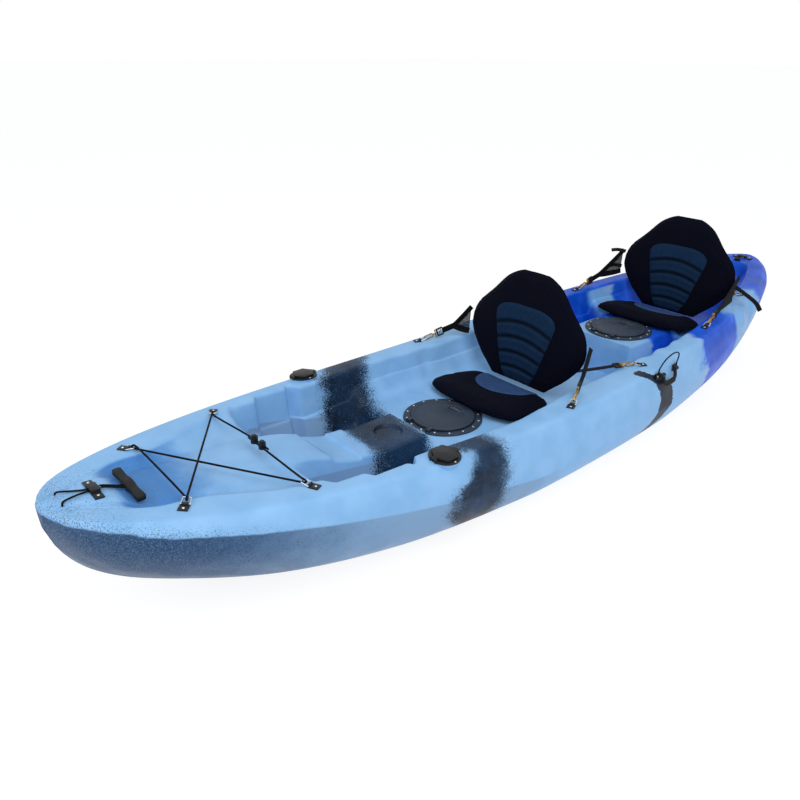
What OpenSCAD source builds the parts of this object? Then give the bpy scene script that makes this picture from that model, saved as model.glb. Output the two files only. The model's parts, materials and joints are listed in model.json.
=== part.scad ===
// Tandem sit-on-top kayak: hollow moulded hull, two folding padded seats, deck hatches and fittings.
// Millimetres. +X points to the bow, +Y to port, +Z up. The origin is under the middle of the hull.

/* [Hull] */
// Length of the hull
hull_l = 3600; // [3560:10:3700]
// Half breadth at the crest of the gunwale
crest_half = 420; // [410:1:435]
// Breadth that each side swells beyond the crest
side_flare = 26; // [18:1:36]
// Height of the bow tip
bow_h = 432; // [418:1:458]
// Height of the stern tip
stern_h = 443; // [428:1:458]
// Lowest height of the gunwale
mid_h = 340; // [334:1:350]
// Wall of the moulded shell
wall = 6; // [4:0.5:7]
// Width of the gunwale top beside the wells
gunwale_w = 85; // [78:1:92]

/* [Deck levels] */
// Height of the front seat floor and of the front hatch deck
seat_floor_z = 218; // [208:1:226]
// Height of the front footwell floor
foot_floor_z = 133; // [123:1:148]
// Height of the cup holder console
console_z = 254; // [243:1:263]
// Height of the rear footwell floor
rear_foot_z = 158; // [143:1:178]
// Height of the rear seat floor
rear_floor_z = 278; // [268:1:284]
// Height of the rear hatch console
rear_console_z = 300; // [294:1:308]
// Depth of the bow deck panel
panel_d = 30; // [20:1:36]
// Depth of the stern tank well
tank_d = 60; // [45:1:75]
// Half width of the front console
console_half = 100; // [90:1:110]
// Half width of the rear hatch console
rear_console_half = 160; // [152:1:170]

/* [Holes] */
// Radius of a scupper bore
scupper_r = 16; // [12:0.5:18]
// Radius of the cup holder
cup_r = 44; // [38:1:48]
// Depth of the cup holder
cup_d = 75; // [50:1:90]

/* [Hatches] */
// Place of the front hatch along the hull
front_hatch_x = 446; // [440:1:452]
// Place of the rear hatch along the hull
rear_hatch_x = -635; // [-638:1:-632]
// Outer radius of a hatch rim
rim_r = 143; // [138:1:146]
// Radius of a hatch lid
lid_r = 116; // [112:1:118]
// Clear radius inside a hatch rim
hatch_r = 106; // [100:1:107]
// Thickness of a hatch rim flange
rim_t = 6; // [5:0.5:8]
// Thickness of a hatch lid
lid_t = 8; // [7:0.5:10]
// Thickness of a hatch seal
seal_t = 2.5; // [2:0.1:4]
// Number of screws in a hatch rim
rim_screws = 16; // [12:1:18]

/* [Rod holders] */
// Place of the rod holders along the hull
rod_x = 797; // [790:1:806]
// Inner radius of a rod holder
rod_bore_r = 21; // [18:0.5:22]
// Wall of a rod holder tube
rod_wall = 3; // [2:0.5:4]
// Depth of a rod holder
rod_depth = 180; // [150:1:190]
// Outward lean of a rod holder
rod_lean = 4; // [2:1:5]
// Radius of a rod holder cap at its corners
cap_r = 42; // [40:1:43]
// Thickness of a rod holder cap
cap_t = 9; // [7:0.5:12]

/* [Seats] */
// Distance from the front seat to the rear seat
seat_pitch = 1075; // [1072:1:1085]
// Place of the front seat's fold along the hull
seat_x = 55; // [48:1:62]
// Length of a seat pad
pad_l = 290; // [280:1:294]
// Height of a seat back
back_h = 450; // [420:1:460]
// Half width of a seat back at its widest
back_half = 290; // [270:1:298]
// Lean of a seat back
back_lean = 8; // [4:1:12]
// Width of the webbing
web_w = 25; // [20:1:30]
// Thickness of the webbing
web_t = 2; // [1.5:0.1:3]

/* [Deck fittings] */
// Thickness of a pad eye tab
tab_t = 3; // [2.5:0.1:4]
// Radius of a pad eye's wire
wire_r = 1.8; // [1.5:0.1:2]
// Diameter of the deck bungee
bungee_d = 6; // [5:0.5:7]
// Diameter of the toggle cord
toggle_cord_d = 5; // [4:0.5:6]
// Length of the bow toggle's grip
toggle_l = 170; // [140:1:190]
// Radius of the bow toggle's grip
toggle_r = 13; // [11:0.5:14]
// Distance between the brackets of a side handle
handle_l = 110; // [100:1:125]
// Radius of a side handle's grip
grip_r = 10; // [8:0.5:11]
// Drop of a side handle's grip below its pins
grip_drop = 38; // [32:1:44]

/* [Hidden] */
// Running clearance between a pin and its bore
run_c = 0.05;
// Gap that keeps neighbouring faces apart
gap = 0.3;
// Round parts are drawn with this many sides
$fn = 30;
pin_r = 2;
hl = hull_l / 2;
low_x = 250;
stem_l = 700;
stem_h = 440;
// Rise of the keel towards the bow
rocker = 22;
// Well ends and steps, along the hull
heel_x = 600;
toe_x = 1165;
foot_step = 120;
console_x0 = 618;
console_x1 = 815;
rear_con_x0 = -825;
rear_con_x1 = -486;
rear_seat_x0 = -1290;
tank_x1 = -1340;
tank_x0 = -hl + 190;
panel_x1 = hl - 140;
panel_x0 = hl - 240;
step_x = [850, 890, 908, 1020, 1045, 1128, 1165, 1190];
step_y = [300, 335, 318, 318, 290, 287, 252, 250];

function clamp01(t) = min(1, max(0, t));
function ramp(x, a, b) = clamp01((x - a) / (b - a));
function ease(x, a, b) = let (t = ramp(x, a, b)) t * t * (3 - 2 * t);
// A value that runs through [place, value] knots, level at each knot
function track(x, k, i = 0) =
    i >= len(k) - 1 ? k[len(k) - 1][1]
    : x <= k[i + 1][0] ? k[i][1] + (k[i + 1][1] - k[i][1]) * ease(x, k[i][0], k[i + 1][0])
    : track(x, k, i + 1);
// A smooth curve through [place, value] knots
function slope_at(k, i) =
    let (a = max(0, i - 1), b = min(len(k) - 1, i + 1))
    (k[b][1] - k[a][1]) / (k[b][0] - k[a][0]);
function curve(x, k, i = 0) =
    i < len(k) - 2 && x > k[i + 1][0] ? curve(x, k, i + 1)
    : let (h = k[i + 1][0] - k[i][0], t = clamp01((x - k[i][0]) / h))
      k[i][1] * (1 + 2 * t) * (1 - t) * (1 - t) + slope_at(k, i) * h * t * (1 - t) * (1 - t)
      + k[i + 1][1] * t * t * (3 - 2 * t) - slope_at(k, i + 1) * h * t * t * (1 - t);

// Lines of the hull
function end_share(x) = 0.9985 * abs(x) / hl;
function crest_y(x) =
    crest_half * (x > 0 ? pow(1 - pow(end_share(x), 2.5), 0.51) : pow(1 - pow(end_share(x), 2), 0.56));
function crest_z(x) =
    x > low_x ? mid_h + (bow_h - mid_h) * pow((x - low_x) / (hl - low_x), 1.9)
    : mid_h + (stern_h - mid_h) * pow((low_x - x) / (hl + low_x), 1.5);
function crest_slope(x) = atan2(crest_z(x + 5) - crest_z(x - 5), 10);
function keel_z(x) =
    let (t = 0.99 * ramp(abs(x), hl - stem_l, hl), lift = rocker * ease(x, 600, 1250))
    lift + (stem_h - lift) * (1 - pow(1 - pow(t, 2.4), 1 / 2.2));
function strake_drop(x) = 12 + 165 * ramp(abs(x), hl - 50, 400);
function fullness(x) = 1.2 + 2.6 * ease(abs(x), hl - 200, 800);
function flare(x) = side_flare * clamp01(crest_y(x) / 200);
function runner(x) = 0.06 + 0.94 * ease(abs(x), hl - 250, 900);
function bilge(x, a) =
    let (yc = crest_y(x) + flare(x), zc = crest_z(x) - strake_drop(x))
    [yc * pow(cos(a), 2 / fullness(x)), zc - (zc - keel_z(x)) * sin(a)];

// Lines of the deck wells
scallops = [for (i = [0:6]) [-660 + 60 * i, 314 + (i % 2 == 0 ? -7 : 7)]];
well_knots = concat([[-hl, 325], [-700, 320]], scallops, [[-200, 312], [100, 305], [550, 335]],
    [for (i = [0:len(step_x) - 1]) [step_x[i], step_y[i]]], [[hl - 280, 145], [hl, 60]]);
// The gunwale narrows beside the foot steps
function gunwale_at(x) = gunwale_w - 40 * ease(x, 856, 884) * ease(x, 1190, 1150);
function edge_y(x) =
    let (c = crest_y(x))
    max(0.4 * c, min(track(x, well_knots), c - gunwale_at(x)));
function bow_floor_z(x) = crest_z(x) - panel_d * ease(x, panel_x1, panel_x0);
function stern_floor_z(x) = crest_z(x) - tank_d * ease(x, tank_x0 - 40, tank_x0);
function floor_z(x) =
    x > toe_x ? bow_floor_z(x)
    : x > heel_x ? track(x, [[heel_x, seat_floor_z], [heel_x + 50, foot_floor_z], [toe_x - foot_step, foot_floor_z],
        [toe_x, bow_floor_z(toe_x)]])
    : x > rear_con_x0 ? track(x, [[rear_con_x0, rear_floor_z], [rear_con_x0 + 40, rear_foot_z], [-290, rear_foot_z],
        [-240, seat_floor_z], [heel_x, seat_floor_z]])
    : x > tank_x1 ? track(x, [[tank_x1, stern_floor_z(tank_x1)], [rear_seat_x0, rear_floor_z],
        [rear_con_x0, rear_floor_z]])
    : stern_floor_z(x);
deck_crown = 5;
function top_z(x) =
    x > toe_x ? floor_z(x) + deck_crown
    : x > heel_x ? track(x, [[heel_x, seat_floor_z], [console_x0, console_z], [console_x1, console_z],
        [console_x1 + 25, console_z + 12], [toe_x, bow_floor_z(toe_x) + deck_crown]])
    : x > rear_con_x0 - 25 && x < rear_con_x1 + 24
        ? track(x, [[rear_con_x0 - 24, rear_floor_z], [rear_con_x0, rear_console_z], [rear_con_x1, rear_console_z],
            [rear_con_x1 + 24, rear_foot_z]])
    : floor_z(x);
function console_y(x) =
    console_half + (rear_console_half - console_half) * ease(x, -100, -300) * ease(x, -1300, -1000);

// Half section of the outer skin, from the keel round the gunwale to the middle of the deck
function half_section(x) =
    let (c = crest_y(x), zs = crest_z(x), e = edge_y(x), zk = keel_z(x), zf = floor_z(x), zt = top_z(x),
        g = min(1, e / 200), h = min(1, c / 300), r = runner(x), q = flare(x), zl = zf + 0.48 * (zs - zf),
        yf = e - 52 * g, y3 = min(console_y(x) + 22, 0.92 * yf), y2 = min(console_y(x), 0.8 * yf))
    [[0, zk + 12 * r], [60 * r, zk + 12 * r], [80 * r, zk], [140 * r, zk],
     for (a = [66, 48, 31, 15, 0]) bilge(x, a),
     [c + 0.75 * q, zs - 0.45 * strake_drop(x) - 4], [c, zs - 6], [c - 12 * h, zs], [e + 10 * h, zs], [e, zs - 6 * h],
     [e - 14 * g, zl], [e - 22 * g, zl - 2], [yf, zf], [(yf + y3) / 2, zf], [y3, zf], [y2, zt], [y2 / 2, zt], [0, zt]];

// Half section of the hollow, a wall inside the skin and clear of every step within one stride of it
hollow_step = 100;
hollow_end = 110;
function near(x) = [for (k = [-1:0.25:1]) min(hl, max(-hl, x + k * hollow_step))];
function inner_bilge(x, a) = bilge(x, a) + [-wall - 1, wall + 1];
function half_hollow(x) =
    let (n = near(x), e = max([for (u = n) edge_y(u)]), g = min(1, e / 200), r = runner(x),
        zs = min([for (u = n) crest_z(u)]) - wall, zk = keel_z(x) + 13 + wall,
        zf = min([for (u = n) floor_z(u)]) - wall, zt = min([for (u = n) top_z(u)]) - wall,
        y = min([for (u = n) let (yf = edge_y(u) - 52 * min(1, edge_y(u) / 200)) min(console_y(u), 0.8 * yf)]),
        y1 = min([for (u = n) crest_y(u)]) - wall - 2, y2 = min(e + wall + 6, y1 - 8),
        y3 = min(e - 38 * g + wall, y2 - 6), y4 = max(12, min(y + 6 - wall, y3 - 6)), y5 = max(6, min(y - 8 - wall, y4 - 6)))
    [[0, zk], [130 * r, zk], for (a = [66, 48, 31, 15, 0]) inner_bilge(x, a),
     [y1, zs - 14], [y2, zs - 10], [y3, zf], [y4, zf], [y5, zt], [0, zt]];

// A closed skin through rings of points
function full_ring(x, p) =
    let (n = len(p))
    [for (i = [0:n - 1]) [x, p[i][0], p[i][1]], for (i = [n - 2:-1:1]) [x, -p[i][0], p[i][1]]];
module skin(rings) {
    n = len(rings[0]);
    m = len(rings);
    sides = [for (i = [0:m - 2], j = [0:n - 1]) let (k = (j + 1) % n, a = i * n, b = a + n)
        each [[a + j, b + j, b + k], [a + j, b + k, a + k]]];
    ends = [[for (j = [0:n - 1]) j], [for (j = [n - 1:-1:0]) (m - 1) * n + j]];
    polyhedron(points = [for (r = rings) each r], faces = concat(sides, ends));
}
function fill(a, b, s) = let (n = ceil((b - a) / s)) [for (i = [0:n - 1]) a + (b - a) * i / n];
function spread(k, s) = concat([for (i = [0:len(k) - 2]) each fill(k[i], k[i + 1], s)], [k[len(k) - 1]]);
end_steps = [0, 8, 26, 54, 92, 130];
breaks = concat([for (d = end_steps) -hl + d], [tank_x0 - 40, tank_x0, tank_x1, rear_seat_x0],
    [rear_con_x0 - 24, rear_con_x0, rear_con_x0 + 40], [for (i = [0:12]) -660 + 30 * i],
    [-265, -240, -200, 100, 550, heel_x, heel_x + 18, heel_x + 50, console_x1, console_x1 + 25],
    [step_x[0] + 20, for (i = [1:7]) step_x[i]], [panel_x0, panel_x0 + 50, panel_x1],
    [for (i = [len(end_steps) - 1:-1:0]) hl - end_steps[i]]);
station_step = 75;
stations = spread(breaks, station_step);
hollow_stations = spread([-hl + hollow_end, hl - hollow_end], hollow_step);
scuppers = [[823, 188], [-403, 213], [-1450, 75]];
cup_x = 704;
cord_hole = [hl - 47, 28];
drain_x = -hl + 122;
drain_r = 10;
drain_z = crest_z(drain_x - drain_r - 9);
rod_tube_r = rod_bore_r + rod_wall;
rod_inset = 26;
rod_y = crest_y(rod_x) - rod_inset;
rod_pad = 4;
rod_pad_r = 50;
hatch_hole_r = hatch_r + 10;

// Places a part on the port rod holder's pad, or on its twin to starboard
module at_rod(side) {
    mirror([0, side < 0 ? 1 : 0, 0]) translate([rod_x, rod_y, crest_z(rod_x)]) rotate([-rod_lean, 0, 0]) children();
}
// The moulded shell, drawn to length in one piece
module hull() {
    color("#8fbdec") resize([hull_l, 0, 0]) difference() {
        union() {
            difference() {
                skin([for (x = stations) full_ring(x, half_section(x))]);
                difference() {
                    skin([for (x = hollow_stations) full_ring(x, half_hollow(x))]);
                    for (s = scuppers, y = [-1, 1])
                        translate([s[0], y * s[1], -20]) cylinder(r = scupper_r + wall, h = bow_h);
                    translate([cup_x, 0, console_z - cup_d - wall]) cylinder(r = cup_r + wall, h = bow_h);
                }
            }
            for (side = [-1, 1])
                at_rod(side) translate([0, 0, -30]) cylinder(r1 = rod_pad_r - 20, r2 = rod_pad_r, h = 30 + rod_pad);
        }
        for (s = scuppers, y = [-1, 1])
            translate([s[0], y * s[1], -20]) cylinder(r = scupper_r, h = bow_h);
        translate([cup_x, 0, console_z - cup_d]) cylinder(r = cup_r, h = bow_h);
        for (h = [[front_hatch_x, seat_floor_z], [rear_hatch_x, rear_console_z]])
            translate([h[0], 0, h[1] - 5 * wall]) cylinder(r = hatch_hole_r, h = bow_h);
        for (side = [-1, 1])
            at_rod(side) translate([0, 0, -rod_depth - 1]) cylinder(r = rod_tube_r + 1, h = rod_depth + 60);
        for (y = [-1, 1])
            translate([cord_hole[0], y * cord_hole[1], bow_h - 70]) cylinder(d = toggle_cord_d + 1, h = 100);
        translate([drain_x, 0, drain_z - 40]) cylinder(r = drain_r + 4.6, h = 80);
    }
}

// Helpers
function unit(v) = v / norm(v);
function tangent(p, i) = unit(p[min(i + 1, len(p) - 1)] - p[max(i - 1, 0)]);
function normals(p, i, n) =
    i >= len(p) ? []
    : let (t = tangent(p, i), m = unit(n - t * (n * t)))
      concat([m], normals(p, i + 1, m));
// A round cord along a route
module cord(p, d, sides) {
    n = normals(p, 0, [0.1, 0.2, 1]);
    skin([for (i = [0:len(p) - 1]) let (t = tangent(p, i), b = cross(t, n[i]))
        [for (j = [0:sides - 1]) p[i] + d / 2 * (cos(360 * j / sides) * n[i] + sin(360 * j / sides) * b)]]);
}
// A round bar between two points
module bar(p, q, r) {
    v = q - p;
    l = norm(v);
    translate(p) rotate([0, acos(v[2] / l), atan2(v[1], v[0])]) cylinder(r = r, h = l, $fn = 20);
}
// A flat strap between two points, its width square to the given direction
module web(p, q, up) {
    t = unit(q - p);
    w = unit(cross(t, up)) * web_w / 2;
    n = unit(cross(t, w)) * web_t / 2;
    skin([for (c = [p, q]) [c + w + n, c - w + n, c - w - n, c + w - n]]);
}
module along_y(r, l) {
    rotate([90, 0, 0]) cylinder(r = r, h = l, center = true);
}
module along_x(r, l) {
    rotate([0, 90, 0]) cylinder(r = r, h = l, center = true);
}

// Pad eyes: place along the hull, offset across the gunwale, heading of the ring
bow_eyes = [[hl - 281, -8, 229], [hl - 603, -12, 300]];
seat_eyes = [[223, 20, 202], [-247, -8, 329], [-753, -4, 188], [-1215, -8, 335]];
ring_x = 33;
ring_z = 11;
hump_r = 4.4;
function gunwale_y(x) = (crest_y(x) + edge_y(x)) / 2;
module at_eyes(eyes) {
    for (e = eyes, side = [0, 1])
        mirror([0, side, 0]) translate([e[0], gunwale_y(e[0]) + e[1], crest_z(e[0])])
            rotate([0, -crest_slope(e[0]), 0]) rotate([0, 0, e[2]]) children();
}
// A point of an eye's own frame, in the hull's frame
function eye_point(e, side, p) =
    let (c = cos(e[2]), s = sin(e[2]), a = crest_slope(e[0]), x = p[0] * c - p[1] * s, y = p[0] * s + p[1] * c)
    [e[0] + x * cos(a) - p[2] * sin(a), side * (gunwale_y(e[0]) + e[1] + y), crest_z(e[0]) + x * sin(a) + p[2] * cos(a)];
module eye_tab() {
    difference() {
        union() {
            translate([-16, -13, gap / 2]) cube([28, 26, tab_t]);
            translate([12, 0, hump_r + gap]) along_y(hump_r, 18);
        }
        translate([12, 0, hump_r + gap]) along_y(wire_r + 0.4, 40);
        translate([-5, 0, -1]) cylinder(r = 1.9, h = 10);
    }
}
module eye_ring() {
    z = hump_r + gap;
    corners = [[12, -12, z], [12, 12, z], [ring_x, 10, ring_z], [ring_x, -10, ring_z]];
    for (i = [0:3]) {
        bar(corners[i], corners[(i + 1) % 4], wire_r);
        translate(corners[i]) sphere(r = wire_r, $fn = 20);
    }
}
module bow_eye_tabs() {
    color("#17181a") at_eyes(bow_eyes) eye_tab();
}
module bow_eye_rings() {
    color("#b9bdc2") at_eyes(bow_eyes) eye_ring();
}
module seat_eye_tabs() {
    color("#17181a") at_eyes(seat_eyes) eye_tab();
}
module seat_eye_rings() {
    color("#b9bdc2") at_eyes(seat_eyes) eye_ring();
}
module eye_rivets() {
    color("#c9ccd0") at_eyes(concat(bow_eyes, seat_eyes)) translate([-5, 0, gap / 2]) {
        cylinder(r = 1.8, h = tab_t + 1);
        translate([0, 0, tab_t]) cylinder(r1 = 4, r2 = 2.6, h = 1.8);
    }
}

// Deck bungee: in and out of each ring, over or under its front wire
hook_over = [[36, 0, 16.6], [26, 0, 15.2], [22, 0, 10.8]];
hook_under = [[26, 0, 6.2], [36, 0, 5.2]];
hook_in = concat(hook_over, hook_under);
hook_out = [for (i = [4:-1:0]) hook_in[i]];
lock_x = bow_eyes[1][0] + 2;
lock_y = 22;
lock_z = crest_z(bow_eyes[1][0]) + 10;
strand = 4.2;
tail = 48;
module bungee_cord() {
    front = bow_eyes[0];
    rear = bow_eyes[1];
    route = concat([for (y = [-tail, tail]) [lock_x + strand, y, lock_z]],
        [for (q = hook_in) eye_point(rear, 1, q)], [for (q = hook_out) eye_point(front, -1, q)],
        [for (q = hook_out) eye_point(front, 1, q)], [for (q = hook_in) eye_point(rear, -1, q)],
        [for (y = [-tail, tail]) [lock_x - strand, y, lock_z]]);
    color("#141517") cord(route, bungee_d, 8);
}
lock_r = 11;
lock_h = 20;
button_r = 7.5;
button_rest = lock_h - 3.6;
module cord_lock_bodies() {
    color("#17181a") for (y = [-lock_y, lock_y])
        translate([lock_x, y, lock_z - 7]) difference() {
            cylinder(r = lock_r, h = lock_h);
            for (x = [-strand, strand])
                translate([x, 0, 7]) along_y(bungee_d / 2 + gap, 4 * lock_r);
            translate([0, 0, lock_h - 8.2]) cylinder(r = button_r + run_c, h = 20);
        }
}
module cord_button(y) {
    color("#222427") translate([lock_x, y, lock_z - 7 + button_rest]) {
        cylinder(r = button_r, h = 8);
        translate([0, 0, 8]) cylinder(r1 = button_r, r2 = button_r - 1.5, h = 1.5);
    }
}
module cord_button_port() {
    cord_button(lock_y);
}
module cord_button_starboard() {
    cord_button(-lock_y);
}

// Bow toggle, its guide and its cord
guide_x = hl - 130;
guide_z = crest_z(guide_x) + deck_crown;
guide_half = 12;
toggle_x = hl - 218;
toggle_z = top_z(toggle_x + toggle_r / 2) + toggle_r + 2;
lead_x = guide_x - guide_half - 4;
lead_z = guide_z + 4.5;
module guide(x, z, slope) {
    translate([x, 0, z]) rotate([0, -slope, 0]) difference() {
        union() {
            translate([-guide_half, -48, gap / 2]) cube([2 * guide_half, 96, 4]);
            translate([-guide_half, -20, gap / 2]) cube([2 * guide_half, 40, 12]);
        }
        translate([-50, -12, gap / 2 + 1]) cube([100, 24, 7]);
        for (y = [-36, 36])
            translate([0, y, -1]) cylinder(r = 2.2, h = 10);
    }
}
module bow_cord_guide() {
    color("#17181a") guide(guide_x, guide_z, crest_slope(guide_x));
}
stern_guide_x = -hl + 66;
stern_guide_z = crest_z(stern_guide_x);
module stern_cord_guide() {
    color("#17181a") guide(stern_guide_x, stern_guide_z, crest_slope(stern_guide_x));
}
module toggle_cord() {
    deck = crest_z(cord_hole[0]) + deck_crown;
    color("#141517") for (y = [-1, 1])
        cord([[cord_hole[0], y * cord_hole[1], deck - 26], [cord_hole[0], y * cord_hole[1], deck + 1],
            [cord_hole[0] - 2, y * (cord_hole[1] - 1), deck + 4.6], [cord_hole[0] - 9, y * (cord_hole[1] - 4), deck + 6.5],
            [guide_x + 34, y * 8, guide_z + 9], [guide_x + guide_half, y * 5, lead_z + 1.2],
            [lead_x, y * 5, lead_z]], toggle_cord_d, 8);
}
module toggle_lead() {
    color("#141517") for (y = [-1, 1])
        cord([[lead_x - 3, y * 5, lead_z], [lead_x - 16, y * 5, lead_z - 4], [toggle_x + toggle_r + 6, y * 5, toggle_z],
            [toggle_x + 4, y * 5, toggle_z]], toggle_cord_d, 8);
}
module toggle_grip() {
    half = toggle_l / 2;
    color("#17181a") translate([toggle_x, 0, toggle_z]) difference() {
        rotate([90, 0, 0]) rotate_extrude() polygon([[0, -half], [toggle_r - 4, -half], [toggle_r, -half + 5],
            [toggle_r - 2, -half / 2], [toggle_r, -14], [toggle_r, 14], [toggle_r - 2, half / 2], [toggle_r, half - 5],
            [toggle_r - 4, half], [0, half]]);
        for (y = [-5, 5])
            translate([3, y, 0]) rotate([0, 90, 0]) cylinder(d = toggle_cord_d + 2 * gap, h = 40);
    }
}

// Rod holders
rod_flange_t = 4;
rod_flange_z = rod_pad + gap / 2;
rod_hinge_x = cap_r + 4;
rod_hinge_z = rod_flange_z + rod_flange_t + 5;
cap_z = rod_flange_z + rod_flange_t + gap;
module rod_holder(side) {
    color("#17181a") at_rod(side) {
        difference() {
            union() {
                translate([0, 0, rod_flange_z]) cylinder(r = rod_pad_r - 1, h = rod_flange_t);
                translate([0, 0, -rod_depth]) cylinder(r = rod_tube_r, h = rod_depth + rod_flange_z + 1);
                for (y = [-10.5, 10.5]) {
                    translate([rod_hinge_x - 3, y - 3, rod_flange_z]) cube([7, 6, rod_hinge_z - rod_flange_z]);
                    translate([rod_hinge_x, y, rod_hinge_z]) along_y(4, 6);
                }
                translate([rod_hinge_x, 0, rod_hinge_z]) along_y(pin_r, 26);
            }
            translate([0, 0, -rod_depth - 1]) cylinder(r = rod_bore_r, h = rod_depth + 20);
            for (y = [-1, 1])
                translate([0, y * 43, 0]) cylinder(r = 1.9, h = 20);
        }
    }
}
module rod_cap(side) {
    color("#1c1e20") at_rod(side) difference() {
        union() {
            translate([0, 0, cap_z]) cylinder(r = cap_r, h = cap_t, $fn = 6);
            translate([-cap_r - 9, -8, cap_z + 1]) cube([14, 16, 4]);
            translate([cap_r - 12, -7, cap_z]) cube([16, 14, cap_t - 1]);
            translate([rod_hinge_x, 0, rod_hinge_z]) along_y(4, 14);
        }
        translate([rod_hinge_x, 0, rod_hinge_z]) along_y(pin_r + run_c, 30);
    }
}
module rod_holder_port() {
    rod_holder(1);
}
module rod_holder_starboard() {
    rod_holder(-1);
}
module rod_cap_port() {
    rod_cap(1);
}
module rod_cap_starboard() {
    rod_cap(-1);
}

// Hatches
rim_seat_r = lid_r + 3;
rim_seat_t = 3;
lid_z = rim_seat_t + seal_t + 0.1;
lid_top = lid_z + lid_t;
hatch_pin_x = lid_r + 5;
hatch_pin_z = 11;
hatch_ear_y = 50;
screw_ring_r = rim_r - 12;
latch_x = -62;
latch_pin_x = -10;
latch_pin_z = lid_top - 2.6;
module at_front_hatch() {
    translate([front_hatch_x, 0, seat_floor_z]) children();
}
module at_rear_hatch() {
    translate([rear_hatch_x, 0, rear_console_z]) children();
}
module stadium(r, half) {
    for (y = [-half, half])
        translate([0, y]) circle(r = r);
    translate([-r, -half]) square([2 * r, 2 * half]);
}
module hatch_rim() {
    color("#1a1c1f") difference() {
        union() {
            rotate_extrude($fn = 60) polygon([[hatch_r, -wall - 6], [hatch_r + 4, -wall - 6], [hatch_r + 4, gap / 2],
                [rim_r, gap / 2], [rim_r, rim_t - 2], [rim_r - 3, rim_t], [rim_seat_r, rim_t], [rim_seat_r, rim_seat_t],
                [hatch_r, rim_seat_t]]);
            for (side = [-1, 1], y = [-8.5, 8.5]) {
                translate([hatch_pin_x - 4, side * hatch_ear_y + y - 2, rim_t - 1]) cube([8, 4, hatch_pin_z - rim_t + 1]);
                translate([hatch_pin_x, side * hatch_ear_y + y, hatch_pin_z]) along_y(4.2, 4);
            }
            for (side = [-1, 1])
                translate([hatch_pin_x, side * hatch_ear_y, hatch_pin_z]) along_y(pin_r, 20);
        }
        for (i = [0:rim_screws - 1])
            rotate([0, 0, (i + 0.5) * 360 / rim_screws]) translate([screw_ring_r, 0, -1]) cylinder(r = 1.9, h = 20);
    }
}
module hatch_seal() {
    color("#2b2d30") translate([0, 0, rim_seat_t]) rotate_extrude($fn = 60)
        polygon([[hatch_r + 2, 0], [hatch_r + 8, 0], [hatch_r + 8, seal_t - 0.4], [hatch_r + 5, seal_t], [hatch_r + 2, seal_t - 0.4]]);
}
module hatch_lid() {
    color("#2a2d33") difference() {
        union() {
            rotate_extrude($fn = 60) polygon([[0, lid_z], [lid_r, lid_z], [lid_r, lid_top - 2.5], [lid_r - 3, lid_top],
                [lid_r - 10, lid_top], [lid_r - 11, lid_top - 1.2], [lid_r - 12.5, lid_top - 1.2], [lid_r - 13.5, lid_top],
                [0, lid_top]]);
            for (side = [-1, 1]) {
                translate([hatch_pin_x - 26, side * hatch_ear_y - 6, hatch_pin_z - 4]) cube([26, 12, 7]);
                translate([hatch_pin_x, side * hatch_ear_y, hatch_pin_z]) along_y(4.2, 12);
            }
        }
        for (side = [-1, 1])
            translate([hatch_pin_x, side * hatch_ear_y, hatch_pin_z]) along_y(pin_r + run_c, 30);
        translate([latch_x, 0, lid_top - 5]) linear_extrude(20) stadium(17, 11);
    }
    color("#2a2d33") translate([latch_x + latch_pin_x, 0, latch_pin_z]) along_y(1.4, 50);
}
module hatch_latch() {
    color("#6a6e72") translate([latch_x, 0, 0]) difference() {
        union() {
            translate([0, 0, lid_top - 4.2]) linear_extrude(2.8) intersection() {
                stadium(16.2, 11);
                translate([latch_pin_x, -40]) square([14, 80]);
            }
            translate([latch_pin_x, 0, latch_pin_z]) along_y(2.2, 30);
        }
        translate([latch_pin_x, 0, latch_pin_z]) along_y(1.4 + run_c, 60);
    }
}
module front_hatch_rim() {
    at_front_hatch() hatch_rim();
}
module front_hatch_seal() {
    at_front_hatch() hatch_seal();
}
module front_hatch_lid() {
    at_front_hatch() hatch_lid();
}
module front_hatch_latch() {
    at_front_hatch() hatch_latch();
}
module rear_hatch_rim() {
    at_rear_hatch() hatch_rim();
}
module rear_hatch_seal() {
    at_rear_hatch() hatch_seal();
}
module rear_hatch_lid() {
    at_rear_hatch() hatch_lid();
}
module rear_hatch_latch() {
    at_rear_hatch() hatch_latch();
}
module pan_head(r) {
    cylinder(r1 = r, r2 = r - 0.8, h = 2);
    translate([0, 0, -3]) cylinder(r = 1.8, h = 4);
}
module rim_heads() {
    for (i = [0:rim_screws - 1])
        rotate([0, 0, (i + 0.5) * 360 / rim_screws]) translate([screw_ring_r, 0, rim_t]) pan_head(4);
}
module hatch_screws() {
    color("#d4d7da") {
        at_front_hatch() rim_heads();
        at_rear_hatch() rim_heads();
    }
}

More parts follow.
